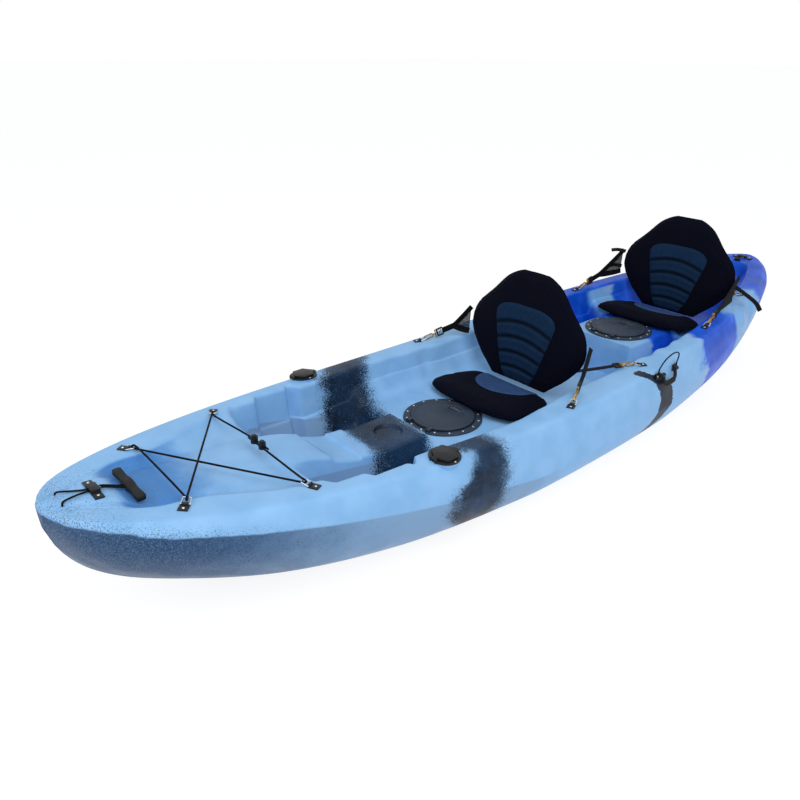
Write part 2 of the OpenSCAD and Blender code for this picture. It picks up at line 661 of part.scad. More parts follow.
// Side handles
handle_x = -315;
handle_down = 26;
flank_lean = atan2(0.75 * side_flare, 0.45 * strake_drop(handle_x) - 2);
flank_y = crest_y(handle_x) + (handle_down - 6) * tan(flank_lean);
handle_yaw = atan2(crest_y(handle_x + 55) - crest_y(handle_x - 55), 110);
axle_z = 15;
axle_r = 4;
bracket_x = handle_l / 2;
module at_handle(side) {
    mirror([0, side < 0 ? 1 : 0, 0]) translate([handle_x, flank_y, crest_z(handle_x) - handle_down])
        rotate([0, 0, handle_yaw]) rotate([flank_lean - 90, 0, 0]) children();
}
module handle_brackets() {
    color("#17181a") for (side = [-1, 1], end = [0, 1])
        at_handle(side) mirror([end, 0, 0]) difference() {
            union() {
                translate([bracket_x - 6, -12, 1.2]) cube([30, 24, 5]);
                translate([bracket_x - 6, -8, 1.2]) cube([10, 16, axle_z - 1.2]);
                translate([bracket_x - 1, 0, axle_z]) along_x(8, 10);
                translate([bracket_x - 11, 0, axle_z]) along_x(axle_r, 16);
            }
            translate([bracket_x + 15, 0, -1]) cylinder(r = 1.9, h = 10);
        }
}
module side_grip(side) {
    arm = bracket_x - 11.5;
    color("#1c1d1f") at_handle(side) difference() {
        union() {
            for (end = [-1, 1]) {
                translate([end * arm, 0, axle_z]) along_x(7.5, 9);
                translate([end * arm - 4.5, 0, axle_z - 7.5]) cube([9, grip_drop, 15]);
            }
            translate([0, grip_drop, axle_z]) along_x(grip_r, 2 * arm + 9);
        }
        translate([0, 0, axle_z]) along_x(axle_r + run_c, 3 * arm);
    }
}
module side_grip_port() {
    side_grip(1);
}
module side_grip_starboard() {
    side_grip(-1);
}
loop_route = [[66, -7.5, 9], [69, -22, 11], [66, -42, 22], [52, -60, 31], [28, -70, 36], [0, -74, 38]];
module paddle_loops() {
    half = [for (i = [0:len(loop_route) - 1]) loop_route[i]];
    other = [for (i = [len(loop_route) - 2:-1:0]) [-loop_route[i][0], loop_route[i][1], loop_route[i][2]]];
    color("#141517") for (side = [-1, 1])
        at_handle(side) cord(concat(half, other), 5, 8);
}
module panhead_screws() {
    color("#c9ccd0") {
        for (side = [-1, 1], y = [-43, 43])
            at_rod(side) translate([0, y, rod_flange_z + rod_flange_t]) pan_head(3.6);
        for (side = [-1, 1], end = [-1, 1])
            at_handle(side) translate([end * (bracket_x + 15), 0, 6.2]) pan_head(4);
        for (g = [[guide_x, guide_z], [stern_guide_x, stern_guide_z]])
            translate([g[0], 0, g[1]]) rotate([0, -crest_slope(g[0]), 0])
                for (y = [-36, 36])
                    translate([0, y, 4 + gap / 2]) pan_head(4);
    }
}

// Drain
module drain_socket() {
    color("#17181a") translate([drain_x, 0, drain_z]) difference() {
        union() {
            translate([0, 0, 0.2]) cylinder(r = drain_r + 8, h = 2);
            translate([0, 0, -20]) cylinder(r = drain_r + 4, h = 21);
        }
        translate([0, 0, -30]) cylinder(r = drain_r + run_c, h = 60);
    }
}
module drain_seal() {
    color("#2b2d30") translate([drain_x, 0, drain_z + 2.3]) difference() {
        cylinder(r = drain_r + 5, h = 1.4);
        translate([0, 0, -1]) cylinder(r = drain_r + 1, h = 5);
    }
}
module drain_plug() {
    color("#1c1e20") translate([drain_x, 0, drain_z]) {
        translate([0, 0, -16]) cylinder(r = drain_r, h = 22);
        translate([0, 0, 4]) cylinder(r = drain_r + 6, h = 4);
        translate([-3, -drain_r - 3, 7]) cube([6, 2 * drain_r + 6, 6]);
    }
}

// Seats: 0 is the front seat, 1 the rear one
function fold_x(k) = seat_x - k * seat_pitch;
function fold_z(k) = (k == 0 ? seat_floor_z : rear_floor_z) + 1;
function hatch_at(k) = k == 0 ? [front_hatch_x, seat_floor_z] : [rear_hatch_x, rear_console_z];
// The pad lies on the seat floor behind and on the hatch lid in front
function pad_tilt(k) =
    atan2(hatch_at(k)[1] + lid_top + 1 - fold_z(k), hatch_at(k)[0] - lid_r - fold_x(k));
pad_start = 8;
pad_sink = 1.6;
pad_edges = [[0, 175], [40, 205], [140, 232], [230, 240], [285, 226], [318, 180], [334, 120], [340, 60]];
pad_rows = [0, 5, 16, 34, 70, 120, 165, 200, 230, 255, 280, 300, 316, 328, 336, 340];
pad_cols = 16;
// Half round spacing, so that the columns crowd at the edges
function across(j, n) = -cos(180 * j / n);
function pad_crown(x, v) = (1 - pow(v, 6)) * sqrt(clamp01(x / 60)) * sqrt(clamp01((340 - x) / 40));
function pad_dish(x, v) =
    let (u = (x - 175) / 125, q = sqrt(u * u + pow(v / 0.62, 2)))
    5 * (1 - ease(q, 0.72, 0.9)) - 3.5 * (ease(q, 0.8, 0.95) - ease(q, 0.95, 1.1));
// Half width of a pad, kept inside the seat well
function pad_w(k, x) =
    min(curve(x, pad_edges), edge_y(fold_x(k) + pad_start + x * pad_l / 340) - 52 + 0.1 * x);
module pad(k) {
    share = pad_l / 340;
    color("#15181d") translate([fold_x(k), 0, fold_z(k)]) rotate([0, -pad_tilt(k), 0])
        translate([pad_start, 0, -pad_sink])
        skin([for (x = pad_rows) let (w = pad_w(k, x)) concat(
            [for (j = [0:pad_cols]) let (v = -across(j, pad_cols))
                [x * share, w * v, 10 + 2 * (1 - v * v) + (30 + pad_dish(x, v)) * pad_crown(x, v)]],
            [for (j = [0:pad_cols]) let (v = across(j, pad_cols)) [x * share, 0.97 * w * v, 1.4 * v * v + 1.1 * pow((x - 170) / 170, 2)]])]);
}
module front_seat_pad() {
    pad(0);
}
module rear_seat_pad() {
    pad(1);
}
back_base = 6;
back_dx = -24;
back_z = 10;
back_widths = [[0, 140], [35, 180], [80, 236], [105, 262], [135, 288], [170, 303], [215, 300], [250, 287],
    [282, 262], [310, 230], [335, 204], [372, 170], [400, 138], [420, 100], [430, 68], [435, 45]];
back_rows = [0, 4, 14, 30, 60, 95, 130, 165, 200, 232, 260, 286, 310, 335, 360, 384, 404, 419, 429, 435];
back_cols = 16;
function back_w(s) = curve(s, back_widths) * back_half / 303;
function back_crown(s, v) = (1 - pow(abs(v), 5)) * sqrt(clamp01(s / 50)) * sqrt(clamp01((435 - s) / 50));
function back_front(s, v) = 6 + 22 * back_crown(s, v) + 10 * v * v;
function back_rear(s, v) = 10 * v * v - 6 - 8 * back_crown(s, v);
module at_back(k) {
    translate([fold_x(k) + back_dx, 0, fold_z(k) + back_z]) rotate([0, -back_lean, 0]) children();
}
function back_share() = back_h / 435;
module back(k) {
    color("#15181d") at_back(k) translate([0, 0, back_base])
        skin([for (s = back_rows) let (w = back_w(s)) concat(
            [for (j = [0:back_cols]) let (v = across(j, back_cols)) [back_front(s, v), w * v, s * back_share()]],
            [for (j = [1:back_cols - 1]) let (v = -across(j, back_cols)) [back_rear(s, v), w * v, s * back_share()]])]);
}
module front_seat_back() {
    back(0);
}
module rear_seat_back() {
    back(1);
}
// The quilted inset on the front of a seat back
panel_bottom = 22;
panel_top = 300;
panel_step = 8;
panel_cols = 10;
channels = [70, 125, 180, 235];
function panel_w(s) = curve(s, [[22, 66], [60, 88], [150, 116], [230, 138], [262, 140], [285, 118], [296, 84], [300, 50]]);
function channel(s, y) =
    let (d = [for (c = channels) abs(s - c + 26 * pow(y / 130, 2))])
    ease(min(d), 0, 11);
function panel_rim(s, v) =
    sqrt(clamp01((1 - abs(v)) / 0.25)) * sqrt(clamp01((s - panel_bottom) / 16)) * sqrt(clamp01((panel_top - s) / 16));
module inset(k) {
    rows = spread([panel_bottom, panel_top], panel_step);
    color("#56698c") at_back(k) translate([0, 0, back_base])
        skin([for (s = rows) let (w = panel_w(s)) concat(
            [for (j = [0:panel_cols]) let (v = across(j, panel_cols), y = w * v)
                [back_front(s, y / back_w(s)) + gap + 1.2 + panel_rim(s, v) * (2 + 6 * channel(s, y)), y, s * back_share()]],
            [for (j = [panel_cols:-1:0]) let (v = across(j, panel_cols), y = w * v)
                [back_front(s, y / back_w(s)) + gap, y, s * back_share()]])]);
}
module front_seat_panel() {
    inset(0);
}
module rear_seat_panel() {
    inset(1);
}

// Straps, from the edges of a seat back to a buckle and a snap hook at each eye
function back_point(k, s, v, x) =
    let (y = back_w(s) * v, z = s * back_share() + back_base, a = back_lean)
    [fold_x(k) + back_dx + x * cos(a) - z * sin(a), y, fold_z(k) + back_z + x * sin(a) + z * cos(a)];
hook_l = 50;
buckle_l = 26;
function eye_bar(i, side) = eye_point(seat_eyes[i], side, [ring_x, 0, ring_z]);
// Where a strap leaves its seat back: the fore strap at the side, the aft strap behind
function strap_root(i, side) =
    i % 2 == 0 ? back_point(floor(i / 2), 175, side * 1.012, 12)
    : back_point(floor(i / 2), 105, side * 0.8, -14.5);
function strap_dir(i, side) = unit(strap_root(i, side) - eye_bar(i, side));
// A hook is drawn up tight on its ring
link_in = 5.2;
hook_pull = link_in - wire_r - gap;
function strap_roll(i) = i % 2 == 0 ? 0 : 90;
function strap_at(i, side, d) = eye_bar(i, side) + strap_dir(i, side) * (d + hook_pull);
module at_hooks(i, side) {
    v = strap_dir(i, side);
    translate(eye_bar(i, side)) rotate([0, -asin(v[2]), atan2(v[1], v[0])]) translate([hook_pull, 0, 0]) children();
}
module straps(i) {
    k = floor(i / 2);
    color("#101113") for (side = [-1, 1]) {
        start = strap_at(i, side, hook_l + buckle_l + 1);
        if (i % 2 == 0) {
            join = strap_at(i, side, hook_l + buckle_l + 50);
            high = back_point(k, 225, side * 1.03, 12);
            low = back_point(k, 128, side * 1.06, 12);
            web(start, join + strap_dir(i, side) * 12, [0, 1, 0.2]);
            web(join, high, [0, 1, 0.2]);
            web(join, low, [0, 1, 0.2]);
        } else {
            web(start, strap_root(i, side), [0, 0, 1]);
        }
    }
}
module front_seat_fore_straps() {
    straps(0);
}
module front_seat_aft_straps() {
    straps(1);
}
module rear_seat_fore_straps() {
    straps(2);
}
module rear_seat_aft_straps() {
    straps(3);
}
module strap_buckles() {
    color("#17181a") for (i = [0:3], side = [-1, 1])
        at_hooks(i, side) rotate([strap_roll(i), 0, 0]) translate([hook_l + 0.5, 0, 0]) difference() {
            translate([0, -4, -17]) cube([buckle_l, 8, 34]);
            for (x = [4, 11, 18])
                translate([x, -10, -13]) cube([4.5, 20, 26]);
        }
}
link_r = 8.5;
link_l = 24;
gate_x = 20;
gate_z = 6.9;
module snap_hook(roll) {
    difference() {
        union() {
            rotate([90, 0, 0]) linear_extrude(6, center = true) {
                circle(r = link_r);
                translate([0, -link_r]) square([link_l, 2 * link_r]);
                translate([link_l, 0]) circle(r = link_r);
            }
            translate([link_l + link_r + 4, 0, 0]) along_x(3.6, 12);
            rotate([roll, 0, 0]) translate([hook_l - 9, -3.5, -16]) cube([9, 7, 32]);
        }
        rotate([90, 0, 0]) linear_extrude(20, center = true) {
            circle(r = link_in);
            translate([0, -link_in]) square([link_l, 2 * link_in]);
            translate([link_l, 0]) circle(r = link_in);
        }
        translate([1, -10, 2]) cube([gate_x - 5, 20, 20]);
        translate([gate_x - 5, -2.2, 2]) cube([9, 4.4, 20]);
        rotate([roll, 0, 0]) translate([hook_l - 6, -10, -13]) cube([3.5, 20, 26]);
    }
    translate([gate_x, 0, gate_z]) along_y(0.9, 5.6);
}
module snap_gate() {
    difference() {
        union() {
            translate([1.4, -2, gate_z - 1.5]) cube([gate_x - 1.4, 4, 3]);
            translate([gate_x, 0, gate_z]) along_y(1.7, 4);
        }
        translate([gate_x, 0, gate_z]) along_y(0.9 + run_c, 20);
    }
}
module snap_hooks() {
    color("#b8923f") for (i = [0:3], side = [-1, 1])
        at_hooks(i, side) snap_hook(strap_roll(i));
}
module gate(i, side) {
    color("#c4a055") at_hooks(i, side) snap_gate();
}
module gate_1_port() {
    gate(0, 1);
}
module gate_1_starboard() {
    gate(0, -1);
}
module gate_2_port() {
    gate(1, 1);
}
module gate_2_starboard() {
    gate(1, -1);
}
module gate_3_port() {
    gate(2, 1);
}
module gate_3_starboard() {
    gate(2, -1);
}
module gate_4_port() {
    gate(3, 1);
}
module gate_4_starboard() {
    gate(3, -1);
}

hull();
bow_eye_tabs();
bow_eye_rings();
seat_eye_tabs();
seat_eye_rings();
eye_rivets();
bungee_cord();
cord_lock_bodies();
cord_button_port();
cord_button_starboard();
bow_cord_guide();
stern_cord_guide();
toggle_cord();
toggle_lead();
toggle_grip();
rod_holder_port();
rod_holder_starboard();
rod_cap_port();
rod_cap_starboard();
front_hatch_rim();
front_hatch_seal();
front_hatch_lid();
front_hatch_latch();
rear_hatch_rim();
rear_hatch_seal();
rear_hatch_lid();
rear_hatch_latch();
hatch_screws();
handle_brackets();
side_grip_port();
side_grip_starboard();
paddle_loops();
panhead_screws();
drain_socket();
drain_seal();
drain_plug();
front_seat_pad();
front_seat_back();
front_seat_panel();
front_seat_fore_straps();
front_seat_aft_straps();
rear_seat_pad();
rear_seat_back();
rear_seat_panel();
rear_seat_fore_straps();
rear_seat_aft_straps();
strap_buckles();
snap_hooks();
gate_1_port();
gate_1_starboard();
gate_2_port();
gate_2_starboard();
gate_3_port();
gate_3_starboard();
gate_4_port();
gate_4_starboard();
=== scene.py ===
import json
from functools import cache
from math import atan2, ceil, copysign, cos, hypot, pi, radians, sin, sqrt, tan

import bmesh
import bpy
import numpy as np
from bpy.props import FloatProperty, FloatVectorProperty, PointerProperty
from bpy.types import Operator, Panel, PropertyGroup
from mathutils import Matrix, Vector
from mathutils.bvhtree import BVHTree

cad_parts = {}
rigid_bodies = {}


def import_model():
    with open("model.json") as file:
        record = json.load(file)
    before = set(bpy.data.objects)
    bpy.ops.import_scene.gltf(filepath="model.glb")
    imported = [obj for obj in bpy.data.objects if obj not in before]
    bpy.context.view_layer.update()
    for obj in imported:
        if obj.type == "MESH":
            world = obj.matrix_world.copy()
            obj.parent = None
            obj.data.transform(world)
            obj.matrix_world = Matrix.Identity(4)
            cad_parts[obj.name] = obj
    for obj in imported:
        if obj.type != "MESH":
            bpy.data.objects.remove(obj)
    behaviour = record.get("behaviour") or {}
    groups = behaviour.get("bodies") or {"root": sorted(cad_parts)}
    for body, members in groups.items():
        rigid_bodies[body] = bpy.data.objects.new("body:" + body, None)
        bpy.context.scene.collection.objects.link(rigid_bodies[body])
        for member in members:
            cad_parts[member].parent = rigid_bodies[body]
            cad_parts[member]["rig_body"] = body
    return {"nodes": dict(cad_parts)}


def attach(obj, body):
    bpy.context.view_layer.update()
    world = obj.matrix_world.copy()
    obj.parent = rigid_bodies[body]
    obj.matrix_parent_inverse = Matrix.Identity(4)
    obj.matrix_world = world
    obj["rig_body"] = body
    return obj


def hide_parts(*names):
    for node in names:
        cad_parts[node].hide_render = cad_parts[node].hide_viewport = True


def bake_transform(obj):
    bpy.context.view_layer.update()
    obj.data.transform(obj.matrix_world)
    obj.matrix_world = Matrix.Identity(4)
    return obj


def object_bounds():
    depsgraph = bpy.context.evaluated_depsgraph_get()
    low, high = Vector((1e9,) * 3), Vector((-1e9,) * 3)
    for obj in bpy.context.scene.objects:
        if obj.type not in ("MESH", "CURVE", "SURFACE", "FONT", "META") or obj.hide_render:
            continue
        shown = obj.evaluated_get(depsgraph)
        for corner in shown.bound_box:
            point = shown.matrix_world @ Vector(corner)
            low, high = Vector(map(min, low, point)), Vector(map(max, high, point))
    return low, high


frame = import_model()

bl_info = {
    "name": "Tandem Sit-On-Top Kayak",
    "version": (1, 0, 0),
    "blender": (4, 5, 0),
    "location": "View3D > Sidebar > Kayak",
    "description": "Moulded hull skin, padded seats, straps, cords and deck fittings of a tandem kayak",
    "category": "Object",
}

CAD_BOX = [list(corner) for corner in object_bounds()]
NODES = frame["nodes"]
MM = 0.001
SIDES = ((1, "port"), (-1, "starboard"))
SEATS = ("front", "rear")


def srgb(code):
    """A hexadecimal screen colour as linear red, green and blue."""
    parts = [int(code[i:i + 2], 16) / 255 for i in (0, 2, 4)]
    return tuple(c / 12.92 if c <= 0.04045 else ((c + 0.055) / 1.055) ** 2.4 for c in parts)


def tint(code, name, text):
    return FloatVectorProperty(name=name, description=text, subtype="COLOR", size=3, min=0, max=1,
                               default=srgb(code))


def length(name, text, default, low, high):
    return FloatProperty(name=name, description=text, default=default, min=low, max=high, unit="LENGTH")


def power(name, text, default):
    return FloatProperty(name=name, description=text, default=default, min=0, subtype="POWER")


class KayakHullSettings(PropertyGroup):
    sky: tint("8dc3f5", "Sky", "Main colour of the moulded hull")
    # the panel blue also serves as the painted shade in the wells
    panel: tint("4a8ad2", "Panel", "Deeper blue of the deck panels and wells")
    keel: tint("84a9d0", "Keel", "Blue-grey of the fore body below its crease")
    slate: tint("0c1c2e", "Slate", "Dark band across the hull")
    cobalt: tint("0060f0", "Cobalt", "Strong blue towards the stern")
    cyan: tint("3f9cf0", "Cyan", "Marbled edge between the blues")
    station_pitch: length("Station pitch", "Distance between hull sections", 0.014, 0.008, 0.05)
    tip_bulge: length("Tip bulge", "Rounding of the two tips beyond the last section", 0.006, 0.0, 0.01)


class KayakSeatSettings(PropertyGroup):
    cover: tint("040615", "Cover", "Black stretch cover of the seats")
    inset: tint("142c48", "Inset", "Slate blue quilted inset of a seat back")
    pad_inset: tint("35507c", "Pad inset", "Lighter inset of a seat pad")
    webbing: tint("08090c", "Webbing", "Black strap webbing")
    piping_r: length("Piping", "Radius of the piping along the seams", 0.0018, 0.001, 0.004)
    voxel: length("Voxel", "Remesh size before the covers are inflated", 0.006, 0.004, 0.008)
    puff: length("Puff", "Most that a cover may swell", 0.007, 0.0, 0.012)


class KayakTrimSettings(PropertyGroup):
    plastic: tint("121417", "Plastic", "Black moulded fittings")
    hatch: tint("253345", "Hatch", "Charcoal hatch lids and rims")
    latch: tint("3a4048", "Latch", "Grey latch paddles")
    steel: tint("c6cacf", "Steel", "Stainless wire and screws")
    brass: tint("b58f4a", "Brass", "Snap hooks")
    rubber: tint("131417", "Rubber", "Grips and seals")
    cord: tint("08090b", "Cord", "Black bungee and lines")
    edge: length("Edge", "Easing of the moulded edges", 0.0007, 0.0002, 0.002)


class KayakStageSettings(PropertyGroup):
    floor: tint("f4f5f6", "Floor", "Pale studio floor")
    key_power: power("Key light", "Power of the large key lamp", 100)
    fill_power: power("Fill light", "Power of the fill lamp", 40)
    lens: FloatProperty(name="Lens", description="Focal length of the camera", default=32.37, min=20, max=90,
                        subtype="DISTANCE_CAMERA")


# Stage, in metres and degrees
FLOOR_SIZE, FLOOR_DROP, FLOOR_GLOW, GLOW_SHARE = 70, 0.001, 1.17, 0.75
WORLD_TINT, WORLD_POWER, WHITE = (0.95, 0.975, 1, 1), 0.5, (1, 1, 1, 1)
KEY_PLACE, KEY_SIZE = (1.2, 3.2, 4.2), 3.2
FILL_PLACE, FILL_SIZE = (4.0, 0.2, 2.8), 3.0
LAMP_AIM = (0, 0, 0.2)
CAMERA_PLACE, CAMERA_TURNS = (2.086, 1.636, 1.434), (-130.64, -25.72, 0.48)
CAMERA_SHIFT, SENSOR_W = (0.0081, -0.0109), 36

# Lines of the hull, in millimetres
HL = 1800
CREST_HALF, SIDE_FLARE, BOW_H, STERN_H, MID_H = 420, 26, 432, 443, 340
WALL, GUNWALE_W, LOW_X, STEM_L, STEM_H, ROCKER = 6, 85, 250, 700, 440, 22
SEAT_FLOOR, FOOT_FLOOR, CONSOLE, REAR_FOOT, REAR_FLOOR, REAR_CONSOLE = 218, 133, 254, 158, 278, 300
PANEL_D, TANK_D, CONSOLE_HALF, REAR_CONSOLE_HALF = 30, 60, 100, 160
HEEL, HEEL_RUN, TOE, FOOT_STEP = 600, 50, 1165, 120
CONSOLE_X, CONSOLE_RUN, CONSOLE_LIP = (618, 815), 25, 12
REAR_CON_X, REAR_CON_RUN, REAR_FOOT_RUN = (-825, -486), 24, 40
REAR_TOE = (-290, -240)
TRAY_X, TRAY_D = (892, 902, 1002, 1012), 9
REAR_SEAT_X0, TANK_X1, TANK_X0, TANK_RUN = -1290, -1340, -HL + 190, 40
PANEL_X1, PANEL_X0 = HL - 140, HL - 240
STEPS = [(850, 300), (890, 335), (908, 318), (1020, 318), (1045, 290), (1128, 287), (1165, 252), (1190, 250)]
STEP_MARK = 870
DECK_CROWN = 5
SCUPPERS = [(823, 188), (-403, 213), (-1450, 75)]
CUP_X, CUP_R, CUP_D, CUP_LIP, SCUPPER_R = 704, 44, 75, 8, 16
HATCHES = [(446, SEAT_FLOOR), (-635, REAR_CONSOLE)]
HATCH_HOLE_R = 116
ROD_X, ROD_INSET, ROD_LEAN, ROD_TUBE_R, ROD_DEPTH = 797, 26, 4, 24, 180
BOSS_FOOT, BOSS_FOOT_R, BOSS_R, BOSS_TOP, BOSS_EDGE = -30, 30, 49, 2.5, 1.5
CORD_HOLE, CORD_HOLE_R = (HL - 47, 28), 3
DRAIN_X, DRAIN_R, DRAIN_COLLAR, DRILL = -HL + 122, 10, 4.6, 40
SCALLOPS = [(-660 + 60 * i, 314 + (-7 if i % 2 == 0 else 7)) for i in range(7)]
WELL_KNOTS = ([(-HL, 325), (-700, 320)] + SCALLOPS + [(-200, 312), (100, 305), (550, 335)] + STEPS
              + [(HL - 280, 145), (HL, 60)])
SCOOP_PLACES = (262, -712)
BILGE_ANGLES = (66, 48, 31, 15, 0)
CORNER_R = [0, 30, 18, 20, 60, 60, 60, 45, 5, 18, 10, 10, 9, 10, 6, 6, 26, 24, 16, 12, 12, 0]
CORNER_STEPS = 4
VOID_COUNT, VOID_REACH = 41, HL - 110
SHORT_RUN, TINY_RUN = 60, 20


def clamp01(t):
    return min(1.0, max(0.0, t))


def ramp(x, a, b):
    return clamp01((x - a) / (b - a))


def ease(x, a, b):
    t = ramp(x, a, b)
    return t * t * (3 - 2 * t)


def track(x, knots):
    """A value that runs through [place, value] knots, level at each knot."""
    for (a, va), (b, vb) in zip(knots, knots[1:]):
        if x <= b:
            return va + (vb - va) * ease(x, a, b)
    return knots[-1][1]


def curve(x, knots):
    """A smooth curve through [place, value] knots."""
    last = len(knots) - 1
    i = 0
    while i < last - 1 and x > knots[i + 1][0]:
        i += 1

    def slope(n):
        a, b = max(0, n - 1), min(last, n + 1)
        return (knots[b][1] - knots[a][1]) / (knots[b][0] - knots[a][0])
    h = knots[i + 1][0] - knots[i][0]
    t = clamp01((x - knots[i][0]) / h)
    return (knots[i][1] * (1 + 2 * t) * (1 - t) ** 2 + slope(i) * h * t * (1 - t) ** 2
            + knots[i + 1][1] * t * t * (3 - 2 * t) - slope(i + 1) * h * t * t * (1 - t))


def crest_y(x):
    s = 0.9985 * abs(x) / HL
    return CREST_HALF * ((1 - s ** 2.5) ** 0.51 if x > 0 else (1 - s ** 2) ** 0.56)


def crest_z(x):
    if x > LOW_X:
        return MID_H + (BOW_H - MID_H) * ((x - LOW_X) / (HL - LOW_X)) ** 1.9
    return MID_H + (STERN_H - MID_H) * ((LOW_X - x) / (HL + LOW_X)) ** 1.5


def crest_slope(x):
    return atan2(crest_z(x + 5) - crest_z(x - 5), 10)


def keel_z(x):
    t = 0.99 * ramp(abs(x), HL - STEM_L, HL)
    lift = ROCKER * ease(x, 600, 1250)
    return lift + (STEM_H - lift) * (1 - (1 - t ** 2.4) ** (1 / 2.2))


def strake_drop(x):
    return 12 + 165 * ramp(abs(x), HL - 50, 400)


def flare(x):
    return SIDE_FLARE * clamp01(crest_y(x) / 200)


def runner(x):
    return 0.06 + 0.94 * ease(abs(x), HL - 250, 900)


def bilge(x):
    """Points of the flank from the runner up to the crease."""
    full = 1.2 + 2.6 * ease(abs(x), HL - 200, 800)
    yc, zc = crest_y(x) + flare(x), crest_z(x) - strake_drop(x)
    turns = [radians(a) for a in BILGE_ANGLES]
    return [(yc * max(0.0, cos(a)) ** (2 / full), zc - (zc - keel_z(x)) * sin(a)) for a in turns]


def gunwale(x):
    """Width of the gunwale, narrower beside the foot steps."""
    return GUNWALE_W - 40 * ease(x, 856, 884) * ease(x, 1190, 1150)


def edge_y(x):
    c = crest_y(x)
    return max(0.4 * c, min(track(x, WELL_KNOTS), c - gunwale(x)))


def bow_floor(x):
    return crest_z(x) - PANEL_D * ease(x, PANEL_X1, PANEL_X0)


def tank_ribs(x):
    """Cross ribs on the floor of the tank well."""
    inside = ease(x, TANK_X0 + 10, TANK_X0 + 30) * ease(x, TANK_X1 - 20, TANK_X1 - 40)
    return 9 * inside * max(0.0, cos(2 * pi * (x - TANK_X0 - 45) / 62)) ** 0.7


def stern_floor(x):
    return crest_z(x) - TANK_D * ease(x, TANK_X0 - TANK_RUN, TANK_X0) + tank_ribs(x)


def floor_z(x):
    if x > TOE:
        return bow_floor(x)
    if x > HEEL:
        return track(x, [(HEEL, SEAT_FLOOR), (HEEL + HEEL_RUN, FOOT_FLOOR), (TOE - FOOT_STEP, FOOT_FLOOR),
                         (TOE, bow_floor(TOE))])
    rear = REAR_CON_X[0]
    if x > rear:
        return track(x, [(rear, REAR_FLOOR), (rear + REAR_FOOT_RUN, REAR_FOOT), (REAR_TOE[0], REAR_FOOT),
                         (REAR_TOE[1], SEAT_FLOOR), (HEEL, SEAT_FLOOR)])
    if x > TANK_X1:
        return track(x, [(TANK_X1, stern_floor(TANK_X1)), (REAR_SEAT_X0, REAR_FLOOR), (rear, REAR_FLOOR)])
    return stern_floor(x)


def top_z(x):
    """Height of the deck and the consoles along the middle."""
    if x > TOE:
        return floor_z(x) + DECK_CROWN
    if x > HEEL:
        tray = TRAY_D * (ease(x, *TRAY_X[:2]) - ease(x, *TRAY_X[2:]))
        fore, aft = CONSOLE_X[1], CONSOLE_X[0]
        return track(x, [(HEEL, SEAT_FLOOR), (aft, CONSOLE), (fore, CONSOLE),
                         (fore + CONSOLE_RUN, CONSOLE + CONSOLE_LIP), (TOE, bow_floor(TOE) + DECK_CROWN)]) - tray
    aft, fore = REAR_CON_X
    if aft - REAR_CON_RUN - 1 < x < fore + REAR_CON_RUN:
        return track(x, [(aft - REAR_CON_RUN, REAR_FLOOR), (aft, REAR_CONSOLE), (fore, REAR_CONSOLE),
                         (fore + REAR_CON_RUN, REAR_FOOT)])
    return floor_z(x)


def console_y(x):
    return CONSOLE_HALF + (REAR_CONSOLE_HALF - CONSOLE_HALF) * ease(x, -100, -300) * ease(x, -1300, -1000)


def scoop(x, width):
    """Share of the moulded scoop in a seat well's wall, under a strap eye."""
    return max(1 - ease(abs(x - place), width - 7, width + 7) for place in SCOOP_PLACES)


def half_section(x):
    """Corners of the half section, from the keel round the gunwale to the middle of the deck."""
    c, zs, e, zk = crest_y(x), crest_z(x), edge_y(x), keel_z(x)
    zf, zt = floor_z(x), top_z(x)
    g, h, r, q = min(1, e / 200), min(1, c / 300), runner(x), flare(x)
    zl = zf + 0.48 * (zs - zf)
    yf = e - 52 * g
    y3, y2 = min(console_y(x) + 22, 0.92 * yf), min(console_y(x), 0.8 * yf)
    return [(0, zk + 12 * r), (60 * r, zk + 12 * r), (80 * r, zk), (140 * r, zk), *bilge(x),
            (c + 0.75 * q, zs - 0.45 * strake_drop(x) - 4), (c, zs - 6), (c - 12 * h, zs), (e + 10 * h, zs),
            (e + 4 * scoop(x, 44), zs - 6 * h), (e - 14 * g + 9 * scoop(x, 24), zl),
            (e - 22 * g + 10 * scoop(x, 20), zl - 2), (yf, zf), ((yf + y3) / 2, zf),
            (y3, zf), (y2, zt), (y2 / 2, zt), (0, zt)]


def rounded(corners):
    """The same section with every corner drawn round."""
    out = [corners[0]]
    for i in range(1, len(corners) - 1):
        p, a, b = (np.array(corners[n], float) for n in (i, i - 1, i + 1))
        la, lb = np.linalg.norm(a - p), np.linalg.norm(b - p)
        da, db = min(CORNER_R[i], 0.45 * la), min(CORNER_R[i], 0.45 * lb)
        start = p + (a - p) / max(la, 1e-6) * da
        end = p + (b - p) / max(lb, 1e-6) * db
        for n in range(CORNER_STEPS):
            t = n / (CORNER_STEPS - 1)
            out.append(tuple((1 - t) ** 2 * start + 2 * t * (1 - t) * p + t * t * end))
    out.append(corners[-1])
    return out


